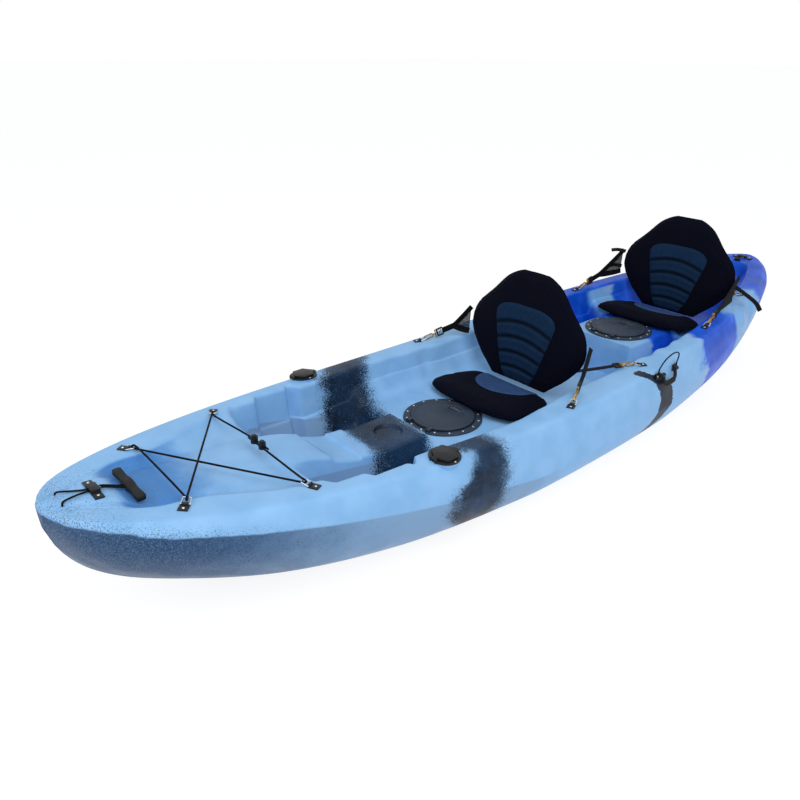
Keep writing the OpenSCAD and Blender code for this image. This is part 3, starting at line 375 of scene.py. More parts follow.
def hollow_half(x):
    """Half section of the hollow, a wall inside the skin."""
    near = [min(HL, max(-HL, x + k * 25)) for k in range(-4, 5)]
    e, r = max(edge_y(u) for u in near), runner(x)
    g = min(1, e / 200)
    zs, zk = min(crest_z(u) for u in near) - WALL, keel_z(x) + 13 + WALL
    zf, zt = (min(level(u) for u in near) - WALL - 4 for level in (floor_z, top_z))
    y = min(min(console_y(u), 0.8 * (edge_y(u) - 52 * min(1, edge_y(u) / 200))) for u in near)
    y1 = min(crest_y(u) for u in near) - WALL - 2
    y2 = min(e + WALL + 6, y1 - 8)
    y3 = min(e - 38 * g + WALL, y2 - 6)
    y4 = max(12, min(y + 6 - WALL, y3 - 6))
    y5 = max(6, min(y - 8 - WALL, y4 - 6))
    skin = [(b - WALL - 1, z + WALL + 1) for b, z in bilge(x)]
    return [(0, zk), (130 * r, zk), *skin, (y1, zs - 14), (y2, zs - 10), (y3, zf), (y4, zf), (y5, zt), (0, zt)]


# Making meshes
def spread(start, run, count):
    """Evenly spaced places along a run."""
    return [start + run * i / (count - 1) for i in range(count)]


def scaled(points):
    return [tuple(c * MM for c in p) for p in points]


def mirrored(x, half):
    """A whole ring, in metres, from the port half of a section."""
    return scaled([(x, y, z) for y, z in half] + [(x, -y, z) for y, z in half[-2:0:-1]])


def lofted(rings):
    """A bmesh grid drawn through closed rings of points, with a UV map of its rows and columns."""
    rows, cols = len(rings), len(rings[0])
    bm = bmesh.new()
    bmesh.ops.create_grid(bm, x_segments=cols, y_segments=rows - 1, size=0.5)
    layer = bm.loops.layers.uv.new("UVMap")
    for face in bm.faces:
        for loop in face.loops:
            loop[layer].uv = (loop.vert.co.x + 0.5, loop.vert.co.y + 0.5)
    for v in bm.verts:
        row, col = round((v.co.y + 0.5) * (rows - 1)), round((v.co.x + 0.5) * cols) % cols
        v.co = rings[row][col]
    bmesh.ops.remove_doubles(bm, verts=bm.verts, dist=1e-6)
    bmesh.ops.recalc_face_normals(bm, faces=bm.faces)
    return bm


def capped(rings, bulge=0.0, shares=(0.96, 0.82, 0.5, 0.0)):
    """Rings with both ends drawn in to a point."""
    def ends(ring, before):
        ring, before = np.array(ring, float), np.array(before, float)
        middle = ring.mean(0)
        way = middle - before.mean(0)
        way = way / max(np.linalg.norm(way), 1e-9)
        return [[tuple(middle + (p - middle) * s + way * bulge * sqrt(1 - s * s)) for p in ring] for s in shares]
    return ends(rings[0], rings[1])[::-1] + [list(r) for r in rings] + ends(rings[-1], rings[-2])


def shut(rings):
    """A lofted form with flat ends."""
    return lofted(capped(rings, 0.0, (0.0,)))


def piece(name, bm, smooth=40):
    mesh = bpy.data.meshes.new(name)
    bm.to_mesh(mesh)
    bm.free()
    shade(mesh, smooth)
    obj = bpy.data.objects.new(name, mesh)
    bpy.context.scene.collection.objects.link(obj)
    return obj


def shade(mesh, angle):
    mesh.shade_smooth()
    mesh.set_sharp_from_angle(angle=radians(angle))


def baked(obj):
    """Applies the modifiers of a piece to its mesh."""
    bpy.context.view_layer.update()
    graph = bpy.context.evaluated_depsgraph_get()
    mesh = bpy.data.meshes.new_from_object(obj.evaluated_get(graph))
    old = obj.data
    obj.modifiers.clear()
    obj.data = mesh
    mesh.name = obj.name
    bpy.data.meshes.remove(old)


def discard(*objs):
    for obj in objs:
        mesh = obj.data
        bpy.data.objects.remove(obj)
        bpy.data.meshes.remove(mesh)


def carve(obj, tool, operation):
    cut = obj.modifiers.new(operation.title(), "BOOLEAN")
    cut.operation, cut.solver, cut.object = operation, "MANIFOLD", tool
    baked(obj)
    discard(tool)


def cylinder(bm, centre, r, h, sides=48, r2=None, matrix=Matrix()):
    """A closed cone or cylinder that stands on centre, in millimetres."""
    x, y, z = centre
    bmesh.ops.create_cone(bm, cap_ends=True, segments=sides, radius1=r * MM, radius2=(r if r2 is None else r2) * MM,
                          depth=h * MM, matrix=matrix @ Matrix.Translation(Vector((x, y, z + h / 2)) * MM))


def dress(obj, body, slot, look, *nodes):
    obj.data.materials.clear()
    obj.data.materials.append(look)
    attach(obj, body)
    if nodes:
        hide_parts(*nodes)


def around(count):
    """Cosine and sine of evenly spaced turns."""
    turns = [2 * pi * j / count for j in range(count)]
    return [(cos(a), sin(a)) for a in turns]


def squared(value, share):
    """Pushes a cosine or sine towards the corner of a rounded box."""
    return copysign(abs(value) ** share, value)


def swept(points, radius, sides=12, closed=False):
    """Rings of a round tube along a route."""
    p = [Vector(q) for q in points]
    n = len(p)
    rings = []
    normal = Vector((0.1, 0.2, 1))
    for i in range(n):
        a = p[i - 1] if i or closed else p[0]
        b = p[(i + 1) % n] if i < n - 1 or closed else p[-1]
        t = (b - a).normalized()
        normal = (normal - t * normal.dot(t)).normalized()
        side = t.cross(normal)
        rings.append([p[i] + radius * (c * normal + s * side) for c, s in around(sides)])
    return rings


def smooth_route(points, steps):
    """A smooth route through points, by rounding between their middles."""
    p = [Vector(q) for q in points]
    out = [p[0]]
    for before, q, after in zip(p, p[1:], p[2:]):
        a, b = (before + q) / 2, (q + after) / 2
        for t in (k / steps for k in range(steps + 1)):
            out.append((1 - t) ** 2 * a + 2 * t * (1 - t) * q + t * t * b)
    out.append(p[-1])
    return out


# Shader building
class Value:
    """A shader socket that adds nodes to its tree as it is reckoned with."""

    def __init__(self, tree, socket):
        self.tree, self.socket = tree, socket

    def calc(self, operation, other=0.0, clamp=False):
        return add(self.tree, "Math", {0: self, 1: other}, operation=operation, use_clamp=clamp)[0]

    def __add__(self, other):
        return self.calc("ADD", other)

    def __sub__(self, other):
        return self.calc("SUBTRACT", other)

    def __rsub__(self, other):
        return add(self.tree, "Math", {0: other, 1: self}, operation="SUBTRACT")[0]

    def __mul__(self, other):
        return self.calc("MULTIPLY", other)

    def __abs__(self):
        return self.calc("ABSOLUTE")

    def without(self, other):
        return self.calc("SUBTRACT", other, True)

    def most(self, other):
        return self.calc("MAXIMUM", other)

    def span(self, low, high, a=0.0, b=1.0):
        """Eases from a to b as this goes from low to high."""
        return add(self.tree, "MapRange", {"From Min": low, "From Max": high, "To Min": a, "To Max": b, "Value": self},
                   interpolation_type="SMOOTHSTEP")[0]

    def mix(self, a, b):
        """A blend of two colours by this share."""
        a, b = (c if isinstance(c, Value) else (*c, 1) for c in (a, b))
        return add(self.tree, "Mix", {0: self, 6: a, 7: b}, data_type="RGBA")[2]

    def noise(self, scale, detail=2.0, rough=0.5, distortion=0.0):
        return add(self.tree, "TexNoise", {"Scale": scale, "Detail": detail, "Roughness": rough,
                                           "Distortion": distortion, "Vector": self})["Fac"]

    def wave(self, scale, axis, distortion, detail=2.0, detail_scale=1.0):
        return add(self.tree, "TexWave", {"Scale": scale, "Distortion": distortion, "Detail": detail,
                                          "Detail Scale": detail_scale, "Vector": self}, bands_direction=axis)["Fac"]


def feed(tree, node, values):
    """Links each value to an input of a node, or sets it if it is plain."""
    for key, value in values.items():
        if isinstance(value, Value):
            tree.links.new(value.socket, node.inputs[key])
        else:
            node.inputs[key].default_value = value


def outputs(tree, node):
    return {key: Value(tree, socket) for i, socket in enumerate(node.outputs) for key in (i, socket.name)}


def add(tree, kind, values=None, **attrs):
    """A new node's outputs, by number and by name."""
    node = tree.nodes.new("ShaderNode" + kind)
    for key, value in attrs.items():
        setattr(node, key, value)
    feed(tree, node, values or {})
    return outputs(tree, node)


def located(tree):
    return add(tree, "TexCoord")["Object"]


def attribute(tree, name):
    return add(tree, "Attribute", attribute_name=name)["Fac"]


def group(name, results, **inputs):
    """A node group with number sockets: its tree, its given values and its end."""
    tree = bpy.data.node_groups.new(name, "ShaderNodeTree")
    for label, value in inputs.items():
        tree.interface.new_socket(label, in_out="INPUT", socket_type="NodeSocketFloat").default_value = value
    for label in results:
        tree.interface.new_socket(label, in_out="OUTPUT", socket_type="NodeSocketFloat")
    return tree, outputs(tree, tree.nodes.new("NodeGroupInput")), tree.nodes.new("NodeGroupOutput")


@cache
def moulded_skin():
    """Fine orange peel, slow waves and scuffs of a moulded surface."""
    tree, given, end = group("Moulded Skin", ("Height", "Tone", "Scuff"), Grain=700.0, Wave=9.0)
    where = located(tree)
    wave = where.noise(given["Wave"])
    long_way = add(tree, "Mapping", {"Scale": (30.0, 160.0, 160.0), "Vector": where})[0]
    feed(tree, end, {"Height": where.noise(given["Grain"], rough=0.6) * 0.35 + wave, "Tone": wave,
                     "Scuff": long_way.noise(1.0, 4.0, 0.7).span(0.62, 0.78)})
    return tree


@cache
def speckle():
    """Breaks a soft mask into powder grains."""
    tree, given, end = group("Powder Speckle", ("Mask",), Mask=0.0, Grain=190.0, Spread=0.9)
    jitter = (located(tree).noise(given["Grain"], 3.0, 0.75) - 0.5) * given["Spread"]
    lifted = given["Mask"] + jitter * 3.0
    feed(tree, end, {"Mask": lifted.span(0.47, 0.53) * given["Mask"].span(0.0, 0.06)})
    return tree


@cache
def woven_cloth():
    """A knitted or woven face on object coordinates."""
    tree, given, end = group("Woven Cloth", ("Height", "Tone"), Thread=900.0, Slub=60.0)
    where = located(tree)
    across, along, up = (where.wave(given["Thread"], axis, 1.2, 1.0, 2.0) for axis in "XYZ")
    weave = (across + along + up) * 0.33
    feed(tree, end, {"Height": weave, "Tone": weave * 0.5 + where.noise(given["Slub"], 3.0) * 0.5})
    return tree


def placed(tree, maker, **values):
    """A shared node group, put in a tree."""
    return add(tree, "Group", values, node_tree=maker())


def material(name, shine, roughness=0.5, metallic=0.0):
    mat = bpy.data.materials.new(name)
    mat.use_nodes = True
    shader = mat.node_tree.nodes["Principled BSDF"]
    feed(mat.node_tree, shader, {"Roughness": roughness, "Metallic": metallic, "Specular IOR Level": shine})
    return mat, mat.node_tree, shader


def surface(tree, shader, height, strength, distance, **values):
    """Gives a shader its relief and its values."""
    bump = add(tree, "Bump", {"Strength": strength, "Distance": distance, "Height": height})[0]
    feed(tree, shader, {"Normal": bump, **{key.replace("_", " "): value for key, value in values.items()}})


def darker(colour, share):
    return tuple(c * share for c in colour)


def lighter(colour, share):
    return tuple(c + (1 - c) * share for c in colour)


def plastic_finish(name, colour, roughness, grain=900.0, metallic=0.0, wear=0.25):
    """A moulded or metal fitting with grain, tone and light scuffs."""
    mat, tree, shader = material(name, 0.3, metallic=metallic)
    skin = placed(tree, moulded_skin, Grain=grain, Wave=30.0)
    base = skin["Tone"].span(0.3, 0.7).mix(darker(colour, 0.82), darker(colour, 1.15))
    surface(tree, shader, skin["Height"], 0.25, 0.0004,
            Base_Color=(skin["Scuff"] * wear).mix(base, lighter(colour, 0.07)),
            Roughness=skin["Tone"].span(0.3, 0.7, roughness - 0.06, roughness + 0.08))
    return mat


def cloth_finish(name, colour, thread, roughness, relief=0.5, shine=0.08):
    """A knitted face, darker along any sewn seam: the seam line itself with painted shade in the channel round it."""
    mat, tree, shader = material(name, shine)
    cloth = placed(tree, woven_cloth, Thread=thread)
    base = cloth["Tone"].span(0.3, 0.7).mix(darker(colour, 0.75), darker(colour, 1.3))
    # darker along the seam attribute: the seam line and painted shade in its quilted channel
    surface(tree, shader, cloth["Height"], relief, 0.0006,
            Base_Color=attribute(tree, "seam").mix(base, darker(colour, 0.25)),
            Roughness=cloth["Tone"].span(0.2, 0.8, roughness - 0.08, roughness + 0.06))
    return mat


def strap_finish(name, colour):
    """Ribbed webbing, with its ribs along the strap's own map."""
    mat, tree, shader = material(name, 0.12)
    where = add(tree, "UVMap", uv_map="UVMap")[0]
    weave = (where.wave(12.0, "X", 0.3) + where.wave(60.0, "Y", 0.4)) * 0.5
    surface(tree, shader, weave, 0.5, 0.0005, Base_Color=weave.mix(darker(colour, 0.6), darker(colour, 1.6)),
            Roughness=weave.span(0.0, 1.0, 0.85, 0.62))
    return mat


def net_finish(name, colour):
    """An open knitted net on the sheet's own map."""
    mat, tree, shader = material(name, 0.1, roughness=0.8)
    where = add(tree, "UVMap", uv_map="UVMap")[0]
    top = where.wave(9.0, "X", 0.2).most(where.wave(14.0, "Y", 0.2))
    surface(tree, shader, top, 0.4, 0.0004, Base_Color=top.mix(darker(colour, 0.6), darker(colour, 2.2)),
            Alpha=top.span(0.45, 0.8, 0.3, 1.0))
    return mat


def hull_finish(s):
    """Marbled moulded colours: sky blue, blue-grey keel, dark band, cobalt stern."""
    mat, tree, shader = material("moulded_hull", 0.16)
    where = located(tree)
    axes = add(tree, "SeparateXYZ", {"Vector": where})
    x, y, z = axes["X"], axes["Y"], axes["Z"]
    strake, well = attribute(tree, "strake"), attribute(tree, "well")
    skin = placed(tree, moulded_skin, Grain=620.0, Wave=11.0)
    drift = where.noise(7.0, 3.0, 0.6) - 0.5
    swirl = where.noise(4.5, 3.0, 0.55, 1.2) - 0.5
    wide = abs(y)
    flank = wide.span(0.375, 0.41) * (1.0 - well)

    def grains(mask, scatter, grain):
        return placed(tree, speckle, Grain=grain, Spread=scatter, Mask=mask)[0]

    # sky blue, deeper blue on the bow panel, with painted shade in the wells drawn part way towards the panel blue
    sky = skin["Tone"].span(0.3, 0.7).mix(darker(s.sky, 0.93), lighter(s.sky, 0.05))
    deep = well * (x + drift * 0.25).span(1.33, 1.5)
    # painted shade in the wells: up to about an eighth of the way towards the panel blue
    painted_well_shade = well * swirl.span(-0.08, 0.12, 0.0, 0.12)
    colour = (deep * 0.95).most(painted_well_shade).mix(sky, s.panel)
    # keel below the crease of the fore body, darker and powdered towards the bow
    fore = (x + drift * 0.3).span(0.28, 0.5)
    powder = x.span(0.85, 1.75)
    below = (strake + drift * (powder * 0.03)).span(0.004, -0.004) * fore
    fringe = strake.span(0.05, 0.0) * (powder * 0.42)
    keel = (x + drift * 0.4).span(0.95, 1.6).mix(s.keel, darker(s.panel, 0.3))
    keel = grains(powder * 0.38, 0.9, 300.0).mix(keel, darker(s.keel, 0.5))
    keel = grains(powder * 0.34, 0.9, 240.0).mix(keel, darker(s.panel, 0.12))
    colour = grains(fringe, 0.8, 300.0).mix(colour, darker(s.keel, 0.45))
    colour = below.mix(colour, keel)
    # cobalt towards the stern, with cyan marbling and a pale patch on the port quarter
    aft = x + (swirl * 0.2 + z.span(0.19, 0.37) * -0.05)
    pale = aft.span(-1.0, -1.06) * aft.span(-1.42, -1.34) * (y + drift * 0.1).span(0.2, 0.26)
    pale = pale.most(well * abs(aft + 0.93).span(0.09, 0.05))
    blue = aft.span(-0.66, -0.7).without(pale)
    edge = aft.span(-0.6, -0.7).without(pale * 0.55)
    rim = swirl.span(-0.15, 0.1).mix(s.cyan, lighter(s.cyan, 0.35))
    strong = drift.span(-0.2, 0.25).mix(darker(s.cobalt, 0.65), lighter(s.cobalt, 0.02))
    colour = blue.mix(edge.mix(colour, rim), strong)
    # dark band abreast of the cup holder, set further aft on the gunwales and spreading forward on the flanks
    low = z.span(0.33, 0.2) * flank
    band_x = x + (y * y * 0.62 - y * 0.07) - low * 0.045 + drift * 0.13
    off = abs(band_x - 0.725) + (wide * 0.085 + y * 0.02) - low * 0.03
    dark = drift.span(-0.2, 0.2).mix(s.slate, darker(s.slate, 4.0))
    colour = grains(off.span(0.17, 0.06), 1.0, 330.0).mix(colour, dark)
    # thin curved streak on the flanks abaft the middle
    bow_curve = abs(z - 0.218).calc("POWER", 2.0) * 9.0
    streak_x = x + drift * 0.07 + (0.335 - bow_curve)
    wider = z.span(0.34, 0.25, 0.0, 0.02)
    thin = (abs(streak_x) - wider).span(0.036, 0.012) * wide.span(0.36, 0.385)
    colour = grains(thin, 0.5, 190.0).mix(colour, s.slate)
    colour = (skin["Scuff"] * 0.12).mix(colour, lighter(s.sky, 0.4))
    surface(tree, shader, skin["Height"], 0.12, 0.0012, Base_Color=colour,
            Roughness=skin["Tone"].span(0.3, 0.7, 0.34, 0.48))
    return mat


@cache
def finish(key):
    """One finish for each material slot, made when it is first used."""
    scene = bpy.context.scene
    trim, seat = scene.kayak_trim, scene.kayak_seat
    maker, *values = {
        "hull": (hull_finish, scene.kayak_hull),
        "black": (plastic_finish, "black_moulding", trim.plastic, 0.46),
        "hatch": (plastic_finish, "hatch_moulding", trim.hatch, 0.5, 1100.0),
        "latch": (plastic_finish, "latch_moulding", trim.latch, 0.45),
        "steel": (plastic_finish, "bright_steel", trim.steel, 0.22, 1500.0, 1.0, 0.1),
        "brass": (plastic_finish, "cast_brass", trim.brass, 0.3, 1500.0, 1.0, 0.2),
        "rubber": (plastic_finish, "soft_rubber", trim.rubber, 0.7, 1300.0),
        "cord": (cloth_finish, "braided_cord", trim.cord, 1600.0, 0.7, 0.4, 0.12),
        "cover": (cloth_finish, "stretch_cover", seat.cover, 1100.0, 0.88),
        "inset": (cloth_finish, "quilted_inset", seat.inset, 800.0, 0.8, 0.6),
        "pad_inset": (cloth_finish, "pad_inset", seat.pad_inset, 800.0, 0.8, 0.6),
        "webbing": (strap_finish, "strap_webbing", seat.webbing),
        "net": (net_finish, "wing_net", seat.webbing),
    }[key]
    return maker(*values)


class Step:
    """One step of the dressing, run as an operator."""

    def execute(self, context):
        self.build(context.scene)
        return {"FINISHED"}


def cleared(owner):
    owner.use_nodes = True
    owner.node_tree.nodes.clear()
    return owner.node_tree


def either(tree, share, a, b):
    return add(tree, "MixShader", {0: share, 1: a[0], 2: b[0]})[0]


def seen_ray(tree):
    path = add(tree, "LightPath")
    return path["Is Camera Ray"].most(path["Is Glossy Ray"]).most(path["Is Transmission Ray"])


def lamp(scene, name, place, energy, size):
    data = bpy.data.lights.new(name, "AREA")
    data.energy, data.size = energy, size
    obj = bpy.data.objects.new(name, data)
    obj.location = place
    obj.rotation_euler = (Vector(LAMP_AIM) - Vector(place)).to_track_quat("-Z", "Y").to_euler()
    scene.collection.objects.link(obj)


def camera(scene, s):
    data = bpy.data.cameras.new("camera")
    data.sensor_width, data.lens = SENSOR_W, s.lens
    data.shift_x, data.shift_y = CAMERA_SHIFT
    heading, pitch, roll = (radians(a) for a in CAMERA_TURNS)
    ahead = Vector((cos(pitch) * cos(heading), cos(pitch) * sin(heading), sin(pitch)))
    right = ahead.cross(Vector((0, 0, 1))).normalized()
    right = right * cos(roll) + right.cross(ahead) * sin(roll)
    up = right.cross(ahead)
    turn = Matrix((right, up, -ahead)).transposed().to_4x4()
    obj = bpy.data.objects.new("camera", data)
    obj.matrix_world = Matrix.Translation(CAMERA_PLACE) @ turn
    scene.collection.objects.link(obj)
    scene.camera = obj


class KAYAK_OT_stage(Step, Operator):
    """Floor, soft studio light and the camera"""
    bl_idname = "kayak.stage"
    bl_label = "Stage"

    def build(self, scene):
        s = scene.kayak_stage
        scene.view_settings.view_transform = "Standard"
        scene.world = bpy.data.worlds.new("studio")
        tree = cleared(scene.world)
        soft = add(tree, "Background", {"Color": WORLD_TINT, "Strength": WORLD_POWER})
        white = add(tree, "Background", {"Color": WHITE, "Strength": 1.0})
        add(tree, "OutputWorld", {"Surface": either(tree, seen_ray(tree), soft, white)}, is_active_output=True)
        bm = bmesh.new()
        bmesh.ops.create_grid(bm, x_segments=4, y_segments=4, size=FLOOR_SIZE)
        bmesh.ops.translate(bm, verts=bm.verts, vec=(0, 0, CAD_BOX[0][2] - FLOOR_DROP))
        floor = piece("floor", bm)
        mat = bpy.data.materials.new("studio_floor")
        tree = cleared(mat)
        matt = add(tree, "BsdfDiffuse", {"Color": (*s.floor, 1)})
        glow = add(tree, "Emission", {"Color": WHITE, "Strength": FLOOR_GLOW})
        add(tree, "OutputMaterial", {"Surface": either(tree, seen_ray(tree) * GLOW_SHARE, matt, glow)})
        floor.data.materials.append(mat)
        lamp(scene, "key", KEY_PLACE, s.key_power, KEY_SIZE)
        lamp(scene, "fill", FILL_PLACE, s.fill_power, FILL_SIZE)
        camera(scene, s)


def shifted(*place):
    return Matrix.Translation(Vector(place) * MM)


def handed(side, place):
    """A frame on the port side, or its mirror image."""
    return Matrix.Diagonal((1, side, 1, 1)) @ place


def rod_place(side):
    """The frame of a rod holder's pad."""
    place = shifted(ROD_X, crest_y(ROD_X) - ROD_INSET, crest_z(ROD_X))
    return handed(side, place @ Matrix.Rotation(radians(-ROD_LEAN), 4, "X"))


def stations(pitch):
    """Places of the sections, with one at each mark where the lines change."""
    marks = sorted({-HL, HL, TANK_X0 - TANK_RUN, TANK_X0, TANK_X1, REAR_SEAT_X0, *REAR_CON_X, *CONSOLE_X, HEEL,
                    HEEL + HEEL_RUN, TOE, TOE - FOOT_STEP, REAR_CON_X[0] - REAR_CON_RUN,
                    REAR_CON_X[0] + REAR_FOOT_RUN, REAR_CON_X[1] + REAR_CON_RUN, *REAR_TOE,
                    CONSOLE_X[1] + CONSOLE_RUN, STEP_MARK, *[x for x, _ in STEPS[1:]], PANEL_X0, PANEL_X1, *TRAY_X})
    places = []
    for a, b in zip(marks, marks[1:]):
        n = max(2 if b - a < SHORT_RUN else 1, ceil((b - a) / pitch))
        n = max(n, 5) if TINY_RUN < b - a < SHORT_RUN else n
        places += [a + (b - a) * i / n for i in range(n)]
    return places + [HL]


def bosses(hull):
    bm = bmesh.new()
    for side, _ in SIDES:
        cylinder(bm, (0, 0, BOSS_FOOT), BOSS_FOOT_R, BOSS_TOP - BOSS_FOOT, 64, BOSS_R, rod_place(side))
        cylinder(bm, (0, 0, BOSS_TOP), BOSS_R, BOSS_EDGE, 64, BOSS_R - BOSS_EDGE, rod_place(side))
    bmesh.ops.remove_doubles(bm, verts=bm.verts, dist=1e-6)
    inner = [f for f in bm.faces if len(f.verts) > 8 and all(len(e.link_faces) > 2 for e in f.edges)]
    bmesh.ops.delete(bm, geom=inner, context="FACES_ONLY")
    bmesh.ops.recalc_face_normals(bm, faces=bm.faces)
    carve(hull, piece("bosses", bm), "UNION")


def scuppers(bm, r, sides):
    for x, y in SCUPPERS:
        for side, _ in SIDES:
            cylinder(bm, (x, side * y, -20), r, BOW_H, sides)


def hollow(hull):
    places = spread(-VOID_REACH, 2 * VOID_REACH, VOID_COUNT)
    void = piece("void", shut([mirrored(x, hollow_half(x)) for x in places]))
    bm = bmesh.new()
    scuppers(bm, SCUPPER_R + WALL, 32)
    cylinder(bm, (CUP_X, 0, CONSOLE - CUP_D - WALL), CUP_R + WALL, BOW_H)
    carve(void, piece("posts", bm), "DIFFERENCE")
    carve(hull, void, "DIFFERENCE")


def holes(hull):
    bm = bmesh.new()
    scuppers(bm, SCUPPER_R, 40)
    cylinder(bm, (CUP_X, 0, CONSOLE - CUP_D), CUP_R - 3, CUP_D - CUP_LIP, 64, CUP_R)
    cylinder(bm, (CUP_X, 0, CONSOLE - CUP_LIP - 0.5), CUP_R, CUP_LIP + 1, 64, CUP_R + 7)
    for x, z in HATCHES:
        cylinder(bm, (x, 0, z - 5 * WALL), HATCH_HOLE_R, BOW_H, 96)
    for side, _ in SIDES:
        cylinder(bm, (0, 0, -ROD_DEPTH - 1), ROD_TUBE_R + 1, ROD_DEPTH + 60, matrix=rod_place(side))
        cylinder(bm, (CORD_HOLE[0], side * CORD_HOLE[1], BOW_H - 70), CORD_HOLE_R, 100, 20)
    cylinder(bm, (DRAIN_X, 0, crest_z(DRAIN_X - DRAIN_R - 9) - DRILL), DRAIN_R + DRAIN_COLLAR, 2 * DRILL, 32)
    carve(hull, piece("holes", bm), "DIFFERENCE")


def zones(hull):
    """Height above the strake's crease, and how far inside the wells a point lies."""
    mesh = hull.data
    strake, well = (mesh.attributes.new(name, "FLOAT", "POINT") for name in ("strake", "well"))
    for v in mesh.vertices:
        x = min(HL - 1, max(1 - HL, v.co.x / MM))
        y, z = abs(v.co.y) / MM, v.co.z / MM
        strake.data[v.index].value = (z - crest_z(x) + strake_drop(x)) * MM
        inside = ease(y, edge_y(x) + 4, edge_y(x) - 3) * ease(z, crest_z(x) - 2, crest_z(x) - 9)
        well.data[v.index].value = inside if z > keel_z(x) + 40 else 0.0


class KAYAK_OT_hull(Step, Operator):
    """The moulded hull, hollow, with its wells, holes and bosses"""
    bl_idname = "kayak.hull"
    bl_label = "Hull"

    def build(self, scene):
        s = scene.kayak_hull
        rings = [mirrored(x, rounded(half_section(x))) for x in stations(s.station_pitch / MM)]
        hull = piece("moulded_hull", lofted(capped(rings, s.tip_bulge)))
        bosses(hull)
        hollow(hull)
        holes(hull)
        zones(hull)
        shade(hull.data, 38)
        dress(hull, "hull_body", "hull_plastic", finish("hull"), "hull")


def both(*stems):
    return [f"{stem}_{name}" for stem in stems for _, name in SIDES]


EASED = {
    "black": ("black_plastic", ["bow_eye_tabs", "seat_eye_tabs", "cord_lock_bodies", *both("cord_button"),
                                "bow_cord_guide", "stern_cord_guide", *both("rod_holder", "rod_cap"),
                                "handle_brackets", "drain_socket", "drain_plug", "strap_buckles"]),
    "hatch": ("hatch_plastic", [f"{seat}_hatch_{part}" for seat in SEATS for part in ("rim", "lid")]),
    "latch": ("latch_plastic", [seat + "_hatch_latch" for seat in SEATS]),
    "rubber": ("seal_rubber", ["front_hatch_seal", "rear_hatch_seal", "drain_seal"]),
    "steel": ("bright_steel", ["bow_eye_rings", "seat_eye_rings", "eye_rivets", "hatch_screws", "panhead_screws"]),
    "brass": ("brass_fittings", ["snap_hooks", *both("gate_1", "gate_2", "gate_3", "gate_4")]),
}


def eased(node, edge):
    """A merged copy of a fitting with its sharp edges rounded."""
    bm = bmesh.new()
    bm.from_mesh(NODES[node].data)
    bmesh.ops.remove_doubles(bm, verts=bm.verts, dist=1e-5)
    bmesh.ops.dissolve_limit(bm, angle_limit=radians(0.8), verts=bm.verts, edges=bm.edges)
    sharp = [e for e in bm.edges if len(e.link_faces) == 2 and e.calc_face_angle(0) > radians(32)]
    bmesh.ops.bevel(bm, geom=sharp, offset=edge, offset_type="OFFSET", affect="EDGES", segments=2, profile=0.5,
                    material=-1, clamp_overlap=True)
    return piece(node + "_eased", bm, 35)


class KAYAK_OT_fittings(Step, Operator):
    """Hatches, eyes, hooks, buckles, rod holders and handles with eased edges"""
    bl_idname = "kayak.fittings"
    bl_label = "Deck fittings"

    def build(self, scene):
        for key, (slot, nodes) in EASED.items():
            for node in nodes:
                obj = eased(node, scene.kayak_trim.edge)
                dress(obj, NODES[node]["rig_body"], slot, finish(key), node)


# Deck eyes: place along the hull, offset across the gunwale, heading of the ring
BOW_EYES = [(1519, -8, 229), (1197, -12, 300)]
SEAT_EYES = [(223, 20, 202), (-247, -8, 329), (-753, -4, 188), (-1215, -8, 335)]
RING_END = (33, 0, 11)
HOOK_IN = [(36, 0, 16.6), (26, 0, 15.2), (22, 0, 10.8), (26, 0, 6.2), (36, 0, 5.2)]
HOOK_OUT = HOOK_IN[::-1]
# Cords and grips
BUNGEE_D, LINE_D, LOCK_STRAND, LOCK_TAIL = 6, 5, 4.2, 48
GUIDE_X, GRIP_X, GUIDE_Y = HL - 130, HL - 218, 5
TOGGLE_HALF = 85
TOGGLE_SHAPE = [(-TOGGLE_HALF, 9, 6), (-TOGGLE_HALF + 2, 11.5, 8.4), (-TOGGLE_HALF + 6, 13, 9.6),
                (-TOGGLE_HALF + 24, 12.6, 9.2), (-46, 11.4, 8.6), (-30, 11.6, 9), (-20, 12.6, 11), (-12, 13, 12.8),
                (0, 13, 13)]
HANDLE_X, HANDLE_DOWN, HANDLE_REACH, AXLE_Z, GRIP_ARM, GRIP_DROP = -315, 26, 55, 15, 43.5, 38
GRIP_R, GRIP_SWELL, GRIP_SOFT, RIB_H, RIB_TURN, GRIP_EYE_R, GRIP_EYE_W = 6.2, 3.2, 34, 0.5, 0.9, 7.8, 9
LOOP_HALF = [(66, -7.5, 9), (69, -22, 11), (66, -42, 22), (52, -60, 31), (28, -70, 36), (0, -74, 38)]


def eye_point(eye, side, p):
    """A point of an eye's own frame, in millimetres of the hull's frame."""
    c, s = cos(radians(eye[2])), sin(radians(eye[2]))
    a = crest_slope(eye[0])
    x, y = p[0] * c - p[1] * s, p[0] * s + p[1] * c
    middle = (crest_y(eye[0]) + edge_y(eye[0])) / 2
    return Vector((eye[0] + x * cos(a) - p[2] * sin(a), side * (middle + eye[1] + y),
                   crest_z(eye[0]) + x * sin(a) + p[2] * cos(a)))


def handle_place(side):
    """The frame of a side handle on the hull's flank."""
    lean = atan2(0.75 * SIDE_FLARE, 0.45 * strake_drop(HANDLE_X) - 2)
    y = crest_y(HANDLE_X) + (HANDLE_DOWN - 6) * tan(lean)
    yaw = atan2(crest_y(HANDLE_X + HANDLE_REACH) - crest_y(HANDLE_X - HANDLE_REACH), 2 * HANDLE_REACH)
    place = shifted(HANDLE_X, y, crest_z(HANDLE_X) - HANDLE_DOWN) @ Matrix.Rotation(yaw, 4, "Z")
    return handed(side, place @ Matrix.Rotation(lean - pi / 2, 4, "X"))


